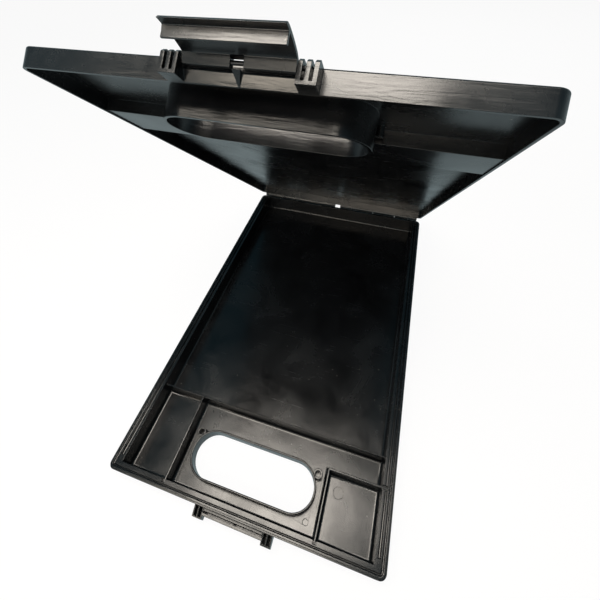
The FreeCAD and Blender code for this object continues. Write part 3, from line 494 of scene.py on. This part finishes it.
@dataclass(frozen=True)
class MouldedAbs:
    """Black ABS moulded in a polished steel tool: near black, a clear gloss broken up by slow
    waves where the walls shrank, draw marks along the walls, a fine skin of tool marks, handling
    haze, wiping marks and a little dust. Pairs are where a drawn value starts and ends to count."""

    name: str
    colour: str = "#08090b"
    haze_colour: str = "#15181b"
    dust_colour: str = "#8c8a84"
    roughness: tuple[float, float] = (0.17, 0.34)
    wiped_roughness: float = 0.16
    ior: float = 1.53
    waves: Lumps = Lumps(34.0, 1.0, 0.4, depth_mm=0.5)
    # The draw marks and the shrinkage behind them run along the walls and leave the plates smooth
    streaks: Lumps = Lumps(1.6, 3.0, 0.55, 0.0, 0.045, (0.06, 0.06, 1.0))
    ripples: Lumps = Lumps(2.4, 2.0, 0.5, 0.8, 0.09, (0.12, 0.12, 1.0))
    # The real tool marks are finer than a pixel, so they are drawn about 1 mm apart
    grain: Lumps = Lumps(1.1, 2.0, 0.6, depth_mm=0.012)
    haze: Lumps = Lumps(52.0, 5.0, 0.62, 0.6)
    hazy: tuple[float, float] = (0.35, 0.75)
    dulled: tuple[float, float] = (0.3, 0.75)
    wipes: Lumps = Lumps(60.0, 6.0, 0.7, stretch=(1.0, 22.0, 6.0), turn=0.5)
    wiped: tuple[float, float] = (0.62, 0.8)
    dust_spacing_mm: float = 7.0
    speck: tuple[float, float] = (0.035, 0.075)
    bare_share: float = 0.72
    dust_strength: float = 0.35
    seed: float = 0.0
    lean_deg: float = 0.0

    def material(self) -> bpy.types.Material:
        """Build the node material."""
        material, nodes = new_material(self.name)
        place = nodes.add("ShaderNodeTexCoord").outputs["Object"]
        upright = nodes.add("ShaderNodeMapping", Vector=place, Location=(self.seed, self.seed, 0),
                            Rotation=(math.radians(self.lean_deg), 0, 0)).outputs[0]
        haze = nodes.lumps(upright, self.haze)
        plastic = nodes.mixed(nodes.spread(haze, self.hazy), linear(self.colour), linear(self.haze_colour))
        colour = nodes.mixed(self.dust(nodes, upright), plastic, linear(self.dust_colour))
        gloss = nodes.spread(haze, self.dulled, self.roughness)
        wiped = nodes.spread(nodes.lumps(upright, self.wipes), self.wiped)
        roughness = nodes.maths("MULTIPLY_ADD", wiped, self.wiped_roughness, gloss)
        shader = nodes.add("ShaderNodeBsdfPrincipled", Base_Color=colour, Roughness=roughness,
                           IOR=self.ior, Normal=self.skin(nodes, upright))
        nodes.add("ShaderNodeOutputMaterial", Surface=shader.outputs[0])
        return material

    def skin(self, nodes: Nodes, place: bpy.types.NodeSocket) -> bpy.types.NodeSocket:
        """Lay the layers of relief over each other, the widest first, and return the normal."""
        below = {}
        for layer in (self.waves, self.streaks, self.ripples, self.grain):
            normal = nodes.add("ShaderNodeBump", Strength=1.0, Distance=layer.depth_mm * MM,
                               Height=nodes.lumps(place, layer), **below).outputs[0]
            below = {"Normal": normal}
        return normal

    def dust(self, nodes: Nodes, place: bpy.types.NodeSocket) -> bpy.types.NodeSocket:
        """Scatter dust, one speck in some of the cells of a grid with wandering centres, and return
        how much of its colour shows."""
        cells = nodes.add("ShaderNodeTexVoronoi", Vector=place, Scale=1 / (self.dust_spacing_mm * MM))
        speck = nodes.spread(cells.outputs["Distance"], self.speck, (1.0, 0.0))
        lot = nodes.add("ShaderNodeSeparateColor", Color=cells.outputs["Color"]).outputs[0]
        drawn = nodes.maths("GREATER_THAN", lot, self.bare_share)
        return nodes.maths("MULTIPLY", nodes.maths("MULTIPLY", speck, drawn), self.dust_strength)


@dataclass(frozen=True)
class Steel:
    """Bare or nickel-plated steel: metallic, with the drawing or pressing marks along one way and
    a faint tarnish that dulls it in patches."""

    name: str
    colour: str
    tarnish: str
    roughness: tuple[float, float]
    mark_mm: float
    marks_along: tuple[float, float, float]
    mark_detail: float = 4.0
    mark_contrast: float = 0.65
    marked: tuple[float, float] = (0.3, 0.7)
    mark_depth_mm: float = 0.006
    mark_strength: float = 0.3
    patches: Lumps = Lumps(6.0, 3.0, 0.6)
    tarnished: tuple[float, float] = (0.45, 0.8)
    most_tarnish: float = 0.7

    def material(self) -> bpy.types.Material:
        """Build the node material."""
        material, nodes = new_material(self.name)
        place = nodes.add("ShaderNodeTexCoord").outputs["Object"]
        lines = Lumps(self.mark_mm, self.mark_detail, self.mark_contrast, stretch=self.marks_along)
        marks = nodes.lumps(place, lines)
        dulled = nodes.spread(nodes.lumps(place, self.patches), self.tarnished, (0.0, self.most_tarnish))
        colour = nodes.mixed(dulled, linear(self.colour), linear(self.tarnish))
        bump = nodes.add("ShaderNodeBump", Strength=self.mark_strength, Distance=self.mark_depth_mm * MM,
                         Height=marks).outputs[0]
        shader = nodes.add("ShaderNodeBsdfPrincipled", Base_Color=colour, Metallic=1.0,
                           Roughness=nodes.spread(marks, self.marked, self.roughness), Normal=bump)
        nodes.add("ShaderNodeOutputMaterial", Surface=shader.outputs[0])
        return material


@dataclass(frozen=True)
class Finishes:
    """The materials that the pieces share."""

    tray: bpy.types.Material
    lid: bpy.types.Material
    latch: bpy.types.Material
    wire: bpy.types.Material
    plated: bpy.types.Material
    spring: bpy.types.Material

    @classmethod
    def make(cls, lean: float) -> "Finishes":
        """Build every finish once.

        Args:
            lean: how far the lid's own upright leans from the tray's, in degrees.

        Returns:
            The finishes.
        """
        return cls(
            tray=MouldedAbs("moulded_black_ABS_tray").material(),
            lid=MouldedAbs("moulded_black_ABS_lid", seed=0.37, lean_deg=lean).material(),
            latch=MouldedAbs("moulded_black_ABS_latch", seed=0.71, lean_deg=lean, roughness=(0.2, 0.36),
                             waves=Lumps(11.0, 1.0, 0.4, depth_mm=0.12)).material(),
            wire=Steel("black_oxide_steel_wire", "#3a3a3c", "#242322", (0.28, 0.45), 0.8,
                       (0.05, 1, 1)).material(),
            plated=Steel("nickel_plated_pressed_steel", "#d4d3cf", "#b3afa6", (0.1, 0.22), 1.4,
                         (0.04, 1, 1)).material(),
            spring=Steel("oiled_spring_steel", "#8b8d92", "#5a5856", (0.25, 0.4), 0.5,
                         (1, 1, 1)).material(),
        )


# Pieces


@dataclass
class Tray:
    """The tray's moulding and the two wires of its hinge. The rounder levels are the tops of the
    hole's collar, the divider and the boxes' walls, and the bottoms of the moats and the groove."""

    finishes: Finishes
    space: LidSpace
    edge_mm: float = 0.2
    rounder_levels: tuple[tuple[float, float], ...] = (
        (13.5, 0.7), (19.0, 0.55), (20.0, 0.55), (20.2, 0.8), (21.5, 0.7),
    )
    wire_radius_mm: float = 1.25
    wire_chamfer_mm: float = 0.25

    def build(self) -> None:
        """Build the moulding, then a wire in each half of the hinge."""
        moulding = merged_copy("base_tray", "tray_moulding")
        ease_edges(moulding, self.edge_mm, 3, levels=self.rounder_levels)
        settle(moulding, "base", self.finishes.tray, Slot.PLASTIC, "base_tray")
        for side in Side:
            self.build_wire(side)

    def build_wire(self, side: Side) -> None:
        """Turn one hinge wire, chamfered at both ends, as long as its node.

        Args:
            side: the half of the hinge that it lies in.
        """
        node = f"hinge_pin_{side.name.lower()}"
        low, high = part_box(node)
        profile = rod_profile(low.x, high.x, self.wire_radius_mm * MM, self.wire_chamfer_mm * MM)
        rings = turned(profile, (0, self.space.hinge_y, self.space.hinge_z), Axis.ACROSS)
        piece = tube_object(f"hinge_wire_{side.name.lower()}", rings, np.array)
        ease_edges(piece, WIRE_EDGE_MM, 1)
        settle(piece, "base", self.finishes.wire, Slot.WIRE, node)


@dataclass
class Lid:
    """The lid's moulding: plate, walls, collar, recess and latch blocks."""

    finishes: Finishes
    edge_mm: float = 0.2

    def build(self) -> None:
        """Build the moulding."""
        moulding = merged_copy("lid_shell", "lid_moulding")
        ease_edges(moulding, self.edge_mm)
        settle(moulding, "lid", self.finishes.lid, Slot.PLASTIC, "lid_shell")


@dataclass
class Latch:
    """The latch flap, thrown open, and its wire. Lengths are millimetres on the closed lid,
    the flap's measured from its axis."""

    finishes: Finishes
    space: LidSpace
    axis_y: float = -199.9
    axis_z: float = 30.9
    half_span: float = 25.2
    half_barrel: float = 2.15
    half_notch: float = 3.0
    reach: float = 20.3
    rise: float = 4.4
    thickness: float = 1.8
    tip_thickness: float = 1.2
    thin_from_share: float = 0.74
    catch_at: float = 15.02
    catch_thickness: float = 1.2
    catch_drop: float = 4.7
    catch_root_share: float = 0.95
    catch_upright: float = 2.3
    catch_flare: float = 0.35
    bead: float = 0.3
    bead_low: float = 0.5
    bead_high: float = 1.7
    foot_ease: float = 0.2
    tip_slant: float = 0.9
    # Shares of half a barrel: where its front starts and ends, its back's corner and the notch's
    barrel_front_shares: tuple[float, float] = (-0.4, 0.9)
    barrel_back_shares: tuple[float, float] = (0.4, 0.8)
    notch_corner_share: float = 0.72
    back_rise_share: float = 0.3
    edge: float = 0.22
    edge_from_degrees: float = 24
    wire_radius: float = 1.0
    wire_reach: float = 30.9
    wire_chamfer: float = 0.2
    arch_steps: int = 5
    arch: tuple[tuple[float, float], ...] = (
        (0.18, 0.60), (0.36, 0.76), (0.55, 0.88), (0.74, 0.95), (0.88, 0.985), (1.0, 1.0),
    )

    def build(self) -> None:
        """Build the flap and the wire that it turns on."""
        self.build_flap()
        profile = rod_profile(-self.wire_reach, self.wire_reach, self.wire_radius, self.wire_chamfer)
        rings = turned(profile, (0, self.axis_y, self.axis_z), Axis.ACROSS)
        wire = tube_object("latch_wire", rings, self.space.placed)
        ease_edges(wire, WIRE_EDGE_MM, 1)
        settle(wire, "lid", self.finishes.wire, Slot.WIRE, "latch_pin")

    def build_flap(self) -> None:
        """Carry the flap's outline along X. Inside the notch the outline keeps only what lies above
        the barrels, so its points there close up on the plate."""
        whole, notched = self.outline()
        edge, notch = self.half_span, self.half_notch
        rings = np.concatenate([
            extruded(whole, np.array([-edge, -notch])), extruded(notched, np.array([-notch, notch])),
            extruded(whole, np.array([notch, edge])),
        ])
        flap = tube_object("latch_flap_arched", rings, self.space.placed)
        ease_edges(flap, self.edge, 3, self.edge_from_degrees)
        settle(flap, "flap", self.finishes.latch, Slot.PLASTIC, "latch_flap")

    def outline(self) -> tuple[np.ndarray, np.ndarray]:
        """Work out the flap's outline: barrel, arched underside with the catch rib, tip, back.

        Returns:
            The outline's (y, z) points through a barrel, and the same points inside the notch.
        """
        half = self.half_barrel
        stations = np.array([(-self.reach * run, self.rise * up) for run, up in self.arch])
        under = smooth_curve(np.concatenate([[(-half, half)], stations]), self.arch_steps)
        over = under + (0, self.thickness)
        thin = self.thin_from_share
        near_tip = np.clip((-over[:, 0] / self.reach - thin) / (1 - thin), 0, 1)[:, None]
        over = over - near_tip**2 * (0, self.thickness - self.tip_thickness)
        over = over + near_tip**4 * (self.tip_slant, 0)
        near, far = -self.catch_at, -self.catch_at - self.catch_thickness
        before = under[under[:, 0] > near]
        after = under[under[:, 0] < far - self.catch_flare]
        root = self.rise * self.catch_root_share
        foot = root - self.catch_drop
        catch = [
            (near, root), (near, foot + self.catch_upright), (near + self.bead, foot + self.bead_high),
            (near + self.bead, foot + self.bead_low), (near - self.foot_ease, foot), (far, foot),
            (far, foot + self.catch_upright), (far - self.catch_flare, root),
        ]
        front_start, front_end = (half * share for share in self.barrel_front_shares)
        back_top, back_side = (half * share for share in self.barrel_back_shares)
        back = [(back_top, half + self.back_rise_share * self.thickness), (half, back_side)]
        barrel = [(half, -half), (front_start, -half), (-half, front_end)]
        whole = np.concatenate([barrel, before, catch, after, over[::-1], back])
        corner = (self.notch_corner_share * half, half)
        shut = [corner, (0.0, half), tuple(before[0])]
        notched = np.concatenate([shut, before, catch, after, over[::-1], back[:1], [corner]])
        middle = (self.axis_y, self.axis_z)
        return whole + middle, notched + middle


@dataclass
class WritingClip:
    """The writing clip in the lid's recess: bracket, rivets, pivot, spring and lever. Lengths are
    millimetres on the closed lid, the lever's measured from its pivot."""

    finishes: Finishes
    space: LidSpace
    pivot_y: float = -119.0
    pivot_z: float = 33.5
    floor_z: float = 26.3
    middle_y: float = -120.25
    bracket_depth: float = 22.0
    bracket_half: float = 41.5
    bracket_sheet: float = 1.0
    bracket_bend: float = 1.5
    ear_half: float = 4.0
    ear_crown_deg: float = 86.0
    ear_straight: float = 1.0
    shoulder: float = 2.6
    shoulder_start: float = 0.2
    rivet_across: float = 25.0
    rivet_radius: float = 1.55
    rivet_head: tuple[float, float] = (3.0, 0.8)
    plate: float = 2.2
    pin_radius: float = 1.5
    pin_reach: float = 43.3
    pin_head: tuple[float, float] = (2.6, 1.0)
    spring_radius: float = 3.0
    spring_wire: float = 0.6
    spring_pitch: float = 1.7
    spring_start: float = -72.0
    spring_end: float = 90.0 + 6 * 360.0
    spring_leg: float = 6.5
    lever_half: float = 43.0
    lever_sheet: float = 1.2
    lever_bend: float = 1.8
    lever_lip: float = 0.6
    flat_margin: float = 0.5
    flange_depth: float = 8.6
    flange_front: tuple[float, float] = (-7.6, -5.0)
    flange_rear: tuple[float, float] = (5.2, 11.2)
    lip_fades: tuple[float, float] = (11.0, 17.0)
    bead_y: float = 9.2
    bead_depth: float = 0.45
    bead_width: float = 1.5
    bead_half: float = 31.0
    bead_run_out: float = 1.2
    sheet_edge: float = 0.12
    rivet_edge: float = 0.08
    pin_edge: float = 0.1
    spring_edge: float = 0.06
    crown_steps: int = 9
    shoulder_steps: int = 8
    coil_steps: int = 170
    spring_sides: int = 14
    line_steps: int = 8
    flat_steps: int = 61
    lever_line: tuple[tuple[float, float], ...] = (
        (-14.5, 4.1), (-8.0, 5.2), (0.0, 5.7), (9.9, 4.5), (18.4, 3.1), (20.7, 2.75), (22.0, 2.1),
    )

    def build(self) -> None:
        """Build the clip from the bracket up."""
        self.finish(self.bracket(), "clip_bracket_bent", self.sheet_edge, "clip_bracket")
        for side in Side:
            name = side.name.lower()
            self.finish(self.rivet(side), f"clip_rivet_headed_{name}", self.rivet_edge, f"clip_rivet_{name}")
        self.finish(self.pin(), "clip_pivot", self.pin_edge, "clip_pin", self.finishes.wire, Slot.WIRE)
        self.build_spring()
        self.finish(self.lever(), "clip_lever_pressed", self.sheet_edge, "clip_lever", body="clip")

    def finish(self, rings: np.ndarray, name: str, edge_mm: float, node: str,
               material: bpy.types.Material | None = None, slot: Slot = Slot.SHEET,
               body: str = "lid") -> None:
        """Turn rings into a finished piece.

        Args:
            rings: the piece's rings on the closed lid.
            name: the piece's name.
            edge_mm: how far its edges are eased.
            node: the frame's node that it stands for.
            material: its finish, nickel-plated steel if none is given.
            slot: the record's slot of that finish.
            body: the frame's body that it moves with.
        """
        piece = tube_object(name, rings, self.space.placed)
        ease_edges(piece, edge_mm)
        settle(piece, body, material or self.finishes.plated, slot, node)

    def bracket(self) -> np.ndarray:
        """Bend a strip into a plate with two ears: its outer face runs down one ear, round a
        quarter bend, along the plate and up the other; each station is as wide as the strip there.

        Returns:
            Rings of four points: the outer face's two edges and the inner face's.
        """
        bend, half, floor = self.bracket_bend, self.bracket_half, self.floor_z
        crown = np.radians(np.linspace(self.ear_crown_deg, 0, self.crown_steps))
        ear_foot = floor + bend + self.ear_straight
        ear_z = np.concatenate([self.pivot_z + self.ear_half * np.sin(crown), [ear_foot]])
        ear_width = np.concatenate([self.ear_half * np.cos(crown), [self.ear_half]])
        turn = np.radians(np.linspace(0, 90, BEND_STEPS))
        bend_x = -half + bend * (1 - np.cos(turn))
        bend_z = floor + bend * (1 - np.sin(turn))
        shoulder = np.radians(np.linspace(0, 90, self.shoulder_steps))
        plate_x = bend_x[-1] + self.shoulder * (1 - np.cos(shoulder)) + self.shoulder_start
        x = np.concatenate([np.full(len(ear_z), -half), bend_x, plate_x])
        z = np.concatenate([ear_z, bend_z, np.full(len(plate_x), floor)])
        inward = np.concatenate([np.zeros(len(ear_z)), turn, np.full(len(plate_x), math.pi / 2)])
        spread = np.concatenate([np.zeros(len(ear_z) + len(turn)), np.sin(shoulder)])
        ear = np.concatenate([ear_width, np.full(len(turn) + len(plate_x), self.ear_half)])
        low = (self.pivot_y - ear) * (1 - spread) + (self.middle_y - self.bracket_depth / 2) * spread
        high = (self.pivot_y + ear) * (1 - spread) + (self.middle_y + self.bracket_depth / 2) * spread
        mirrored = slice(None, None, -1)
        x, sheet_x = (np.concatenate([a, -a[mirrored]]) for a in (x, self.bracket_sheet * np.cos(inward)))
        z, low, high = (np.concatenate([a, a[mirrored]]) for a in (z, low, high))
        sheet_z = self.bracket_sheet * np.sin(np.concatenate([inward, inward[mirrored]]))
        inner_x, inner_z = x + sheet_x, z + sheet_z
        corners = [(x, low, z), (x, high, z), (inner_x, high, inner_z), (inner_x, low, inner_z)]
        return np.stack([np.stack(corner, axis=-1) for corner in corners], axis=1)

    def rivet(self, side: Side) -> np.ndarray:
        """Turn one rivet with a domed head under the lid's plate and one on the bracket.

        Args:
            side: the end of the bracket.

        Returns:
            The rivet's rings.
        """
        inner, outer = self.floor_z - self.plate, self.floor_z + self.bracket_sheet
        profile = headed_profile(inner, outer, self.rivet_radius, self.rivet_head)
        return turned(profile, (side.value * self.rivet_across, self.middle_y, 0), Axis.UP)

    def pin(self) -> np.ndarray:
        """Turn the pivot with a domed head outside each flange, and return its rings."""
        profile = headed_profile(-self.pin_reach, self.pin_reach, self.pin_radius, self.pin_head)
        return turned(profile, (0, self.pivot_y, self.pivot_z), Axis.ACROSS)

    def build_spring(self) -> None:
        """Wind the spring: (p t / 2 pi, R cos t, R sin t) about the pivot, with a straight leg off
        each end. It winds up from the end that rests on the bracket to the one under the lever."""
        turn = np.radians(np.linspace(self.spring_start, self.spring_end, self.coil_steps))
        rate = self.spring_pitch / (2 * math.pi)
        x = rate * (turn - (turn[0] + turn[-1]) / 2)
        out = np.stack([np.zeros_like(turn), np.cos(turn), np.sin(turn)], axis=-1)
        coil = out * self.spring_radius + (0, self.pivot_y, self.pivot_z)
        coil[:, 0] = x
        round_y, round_z = -self.spring_radius * np.sin(turn), self.spring_radius * np.cos(turn)
        way = np.stack([np.full_like(turn, rate), round_y, round_z], axis=-1)
        way /= np.linalg.norm(way, axis=1, keepdims=True)
        ends = coil[:1] - way[:1] * self.spring_leg, coil[-1:] + way[-1:] * self.spring_leg
        path = np.concatenate([ends[0], coil, ends[1]])
        out = np.concatenate([out[:1], out, out[-1:]])
        way = np.concatenate([way[:1], way, way[-1:]])
        radius = np.full(len(path), self.spring_wire)
        rings = tube_rings(path, out, np.cross(way, out), radius, self.spring_sides)
        spring = tube_object("clip_spring_wound", rings, self.space.placed)
        ease_edges(spring, self.spring_edge, 1)
        settle(spring, None, self.finishes.spring, Slot.SPRING, "clip_spring")
        axis_ends = [(end_x, self.pivot_y, self.pivot_z) for end_x in (x[0], x[-1])]
        start, end = self.space.placed(np.array(axis_ends))
        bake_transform(spring)

    def lever(self) -> np.ndarray:
        """Press the lever: each station is a channel section hung from the lever's line, its point
        (x, s) lying s below the line; s stops at the depth that the flange has there.

        Returns:
            Rings of the channel section from the thumb edge to the jaw.
        """
        line = smooth_curve(np.array(self.lever_line), self.line_steps)
        way = np.gradient(line, axis=0)
        way /= np.linalg.norm(way, axis=1, keepdims=True)
        up = np.stack([-way[:, 1], way[:, 0]], axis=-1)
        section = self.channel_section()
        depth = self.flange_line(line[:, 0])
        sunk = np.minimum(section[None, :, 1], depth[:, None])
        bead = np.exp(-((line[:, 0] - self.bead_y) / self.bead_width) ** 2)[:, None]
        past_end = (np.abs(section[None, :, 0]) - self.bead_half) / self.bead_run_out
        bead = bead * 0.5 * (1 - np.tanh(past_end))
        below = sunk + self.bead_depth * bead
        y = self.pivot_y + line[:, :1] - up[:, :1] * below
        z = self.pivot_z + line[:, 1:] - up[:, 1:] * below
        x = np.broadcast_to(section[None, :, 0], y.shape)
        return np.stack([x, y, z], axis=-1)

    def channel_section(self) -> np.ndarray:
        """The channel's closed outline of (x, s) points: down both flanges, with quarter bends
        between them and the sheet.

        Returns:
            The outline's points.
        """
        half, bend, sheet = self.lever_half, self.lever_bend, self.lever_sheet
        turn = np.radians(np.linspace(0, 90, BEND_STEPS))
        flat_half = half - bend - self.flat_margin
        flat = np.linspace(-flat_half, flat_half, self.flat_steps)
        deepest = 2 * self.flange_depth
        sides = []
        for inset in (0.0, sheet):
            radius = bend - inset
            arc_x, arc_s = half - bend + radius * np.cos(turn), bend - radius * np.sin(turn)
            x = np.concatenate([[-half + inset], -arc_x, flat, arc_x[::-1], [half - inset]])
            s = np.concatenate([[deepest], arc_s, np.full_like(flat, inset), arc_s[::-1], [deepest]])
            sides.append(np.stack([x, s], axis=-1))
        return np.concatenate([sides[0], sides[1][::-1]])

    def flange_line(self, y: np.ndarray) -> np.ndarray:
        """How deep the channel is at each place along the lever: a turned-down lip, gone at the jaw,
        and the flange's lobe about the pivot with smooth shoulders.

        Args:
            y: distances from the pivot.

        Returns:
            The depths.
        """
        lip = self.lever_sheet + self.lever_lip * (1 - smooth_step(y, *self.lip_fades))
        lobe = smooth_step(y, *self.flange_front) * (1 - smooth_step(y, *self.flange_rear))
        return lip + (self.flange_depth - lip) * lobe


def smooth_step(values: np.ndarray, start: float, end: float) -> np.ndarray:
    """Rise from zero to one between start and end: 3 t^2 - 2 t^3.

    Args:
        values: where it is wanted.
        start: where it leaves zero.
        end: where it reaches one.

    Returns:
        The risen share at each value.
    """
    t = np.clip((values - start) / (end - start), 0, 1)
    return t * t * (3 - 2 * t)


@dataclass(frozen=True)
class Viewpoint:
    """Where the photograph was taken from, fitted to the outlines of the object."""

    x_mm: float = 67.2
    y_mm: float = -196.8
    z_mm: float = 374.4
    yaw_deg: float = 20.06
    pitch_deg: float = 47.13
    roll_deg: float = -3.52
    focal_pixels: float = 340.4
    middle_x: float = 292.9
    middle_y: float = 241.1
    sensor_mm: float = 36.0
    nearest_m: float = 0.01

    def make_camera(self) -> None:
        """Create the scene's camera: turned left by the yaw, down by the pitch, then rolled."""
        data = bpy.data.cameras.new("photo_camera")
        data.sensor_width = self.sensor_mm
        data.lens = self.sensor_mm * self.focal_pixels / PHOTO_PIXELS
        data.shift_x = 0.5 - self.middle_x / PHOTO_PIXELS
        data.shift_y = self.middle_y / PHOTO_PIXELS - 0.5
        data.clip_start = self.nearest_m
        camera = new_object("photo_camera", data)
        turn = Matrix.Rotation(math.radians(self.yaw_deg), 4, "Z")
        tilt = Matrix.Rotation(math.radians(90 - self.pitch_deg), 4, "X")
        roll = Matrix.Rotation(math.radians(self.roll_deg), 4, "Z")
        place = Matrix.Translation(Vector((self.x_mm, self.y_mm, self.z_mm)) * MM)
        camera.matrix_world = place @ turn @ tilt @ roll
        bpy.context.scene.camera = camera


@dataclass(frozen=True)
class Lamp:
    """A soft rectangular lamp that looks at a point of the object."""

    name: str
    place: tuple[float, float, float]
    size: tuple[float, float]
    watts: float
    aim: tuple[float, float, float] = (0.0, 0.0, 0.1)
    colour: str = "#ffffff"
    mirrored: bool = True

    def make(self) -> None:
        """Create the lamp; the camera doesn't see it, and gloss does where it is mirrored."""
        data = bpy.data.lights.new(self.name, "AREA")
        data.shape = "RECTANGLE"
        data.size, data.size_y = self.size
        data.energy = self.watts
        data.color = linear(self.colour)[:3]
        lamp = new_object(self.name, data)
        lamp.location = self.place
        way = Vector(self.aim) - Vector(self.place)
        lamp.rotation_euler = way.to_track_quat("-Z", "Y").to_euler()
        lamp.visible_camera = False
        lamp.visible_glossy = self.mirrored


@dataclass(frozen=True)
class Studio:
    """A pale floor, soft boxes above the box's front, and a room that gloss mirrors as pale near
    the floor and dark overhead, so that black gloss shows where it faces. The soft box with its
    wing shines in the lid's front wall, the front one in its left end, the latch lamp in the
    barrels, the hinge lamp in the lid's rear wall and the front lamp in the apron."""

    floor_half_m: float = 8.0
    floor_white_share: float = 0.93
    paper: str = "#f4f4f4"
    darkens: tuple[float, float] = (0.05, 0.75)
    room_light: float = 0.2
    ceiling: str = "#35606e"
    mirrored_floor: str = "#a9bcc0"
    lamps: tuple[Lamp, ...] = (
        Lamp("soft_box", (-0.073, -0.1225, 0.70), (0.346, 0.185), 3.4, (-0.073, -0.1224, 0.0), "#fff6ea"),
        Lamp("soft_box_wing", (0.165, -0.07, 0.70), (0.130, 0.080), 0.2, (0.165, -0.0699, 0.0), "#fff6ea"),
        Lamp("soft_box_front", (-0.165, -0.29, 0.70), (0.530, 0.080), 0.7, (-0.165, -0.2899, 0.0), "#fff4e4"),
        Lamp("latch_lamp", (-0.20, -0.515, 0.70), (0.30, 0.09), 0.4, (-0.20, -0.5149, 0.0), "#fff4e4"),
        Lamp("hinge_lamp", (0.05, -0.93, 1.02), (0.55, 0.25), 2.6, (0.05, 0.2, 0.03), "#fff0dc"),
        Lamp("front_lamp", (-0.42, -1.27, 0.53), (0.44, 0.3), 4.0, (0.0, -0.2, 0.3), "#fff0dc"),
        Lamp("rear_lamp", (0.25, 1.1, 0.9), (0.8, 0.8), 4.5, mirrored=False),
        Lamp("left_lamp", (-1.1, -0.3, 0.7), (0.8, 0.8), 3.0, mirrored=False),
    )

    def build(self) -> None:
        """Make the floor, the lamps and the world."""
        scene = bpy.context.scene
        scene.view_settings.view_transform = "Standard"
        self.build_floor()
        self.build_world()
        for lamp in self.lamps:
            lamp.make()

    def build_floor(self) -> None:
        """Lay the floor that the tray rests on: white to the camera but for its shadows, and a pale
        grey in the box's gloss."""
        half = self.floor_half_m
        mesh = bpy.data.meshes.new("studio_floor")
        corners = [(-half, -half, 0), (half, -half, 0), (half, half, 0), (-half, half, 0)]
        mesh.from_pydata(corners, [], [(0, 1, 2, 3)])
        floor = new_object("studio_floor", mesh)
        material, nodes = new_material("matt_white_paper")
        paper = nodes.add("ShaderNodeBsdfDiffuse", Color=linear(self.paper)).outputs[0]
        camera = nodes.add("ShaderNodeLightPath").outputs["Is Camera Ray"]
        shown = nodes.mixed(camera, linear(self.mirrored_floor), WHITE)
        backdrop = nodes.add("ShaderNodeEmission", Color=shown, Strength=1.0).outputs[0]
        share = nodes.maths("MULTIPLY", sees_backdrop(nodes), self.floor_white_share)
        mixed = nodes.add("ShaderNodeMixShader", _0=share, _1=paper, _2=backdrop).outputs[0]
        nodes.add("ShaderNodeOutputMaterial", Surface=mixed)
        mesh.materials.append(material)

    def build_world(self) -> None:
        """White to the camera; to mirror and glass rays the floor's grey low down and dark overhead;
        a plain soft light to everything else."""
        world = bpy.data.worlds.new("studio_world")
        world.use_nodes = True
        nodes = Nodes(world.node_tree)
        way = nodes.add("ShaderNodeTexCoord").outputs["Generated"]
        height = nodes.add("ShaderNodeSeparateXYZ", Vector=way).outputs["Z"]
        overhead = nodes.spread(height, self.darkens, curve="SMOOTHSTEP")
        mirrored = nodes.mixed(overhead, linear(self.mirrored_floor), linear(self.ceiling))
        camera = nodes.add("ShaderNodeLightPath").outputs["Is Camera Ray"]
        seen = nodes.mixed(camera, mirrored, WHITE)
        soft = (self.room_light, self.room_light, self.room_light, 1)
        colour = nodes.mixed(sees_backdrop(nodes), soft, seen)
        light = nodes.add("ShaderNodeBackground", Color=colour, Strength=1.0).outputs[0]
        nodes.add("ShaderNodeOutputWorld", Surface=light)
        bpy.context.scene.world = world


def sees_backdrop(nodes: Nodes) -> bpy.types.NodeSocket:
    """Tell camera, glossy and transmission rays from the rest: one for them, zero for the others."""
    path = nodes.add("ShaderNodeLightPath").outputs
    either = nodes.maths("MAXIMUM", path["Is Camera Ray"], path["Is Glossy Ray"])
    return nodes.maths("MAXIMUM", either, path["Is Transmission Ray"])


def main() -> None:
    """Build the studio, then the box's sub-assemblies in order."""
    logging.basicConfig(level=logging.INFO, format="%(message)s")
    space = LidSpace.from_joints(frame["joints"])
    finishes = Finishes.make(math.degrees(space.opening))
    Viewpoint().make_camera()
    Studio().build()
    Tray(finishes, space).build()
    Lid(finishes).build()
    Latch(finishes, space).build()
    WritingClip(finishes, space).build()


if __name__ == "__main__":
    main()
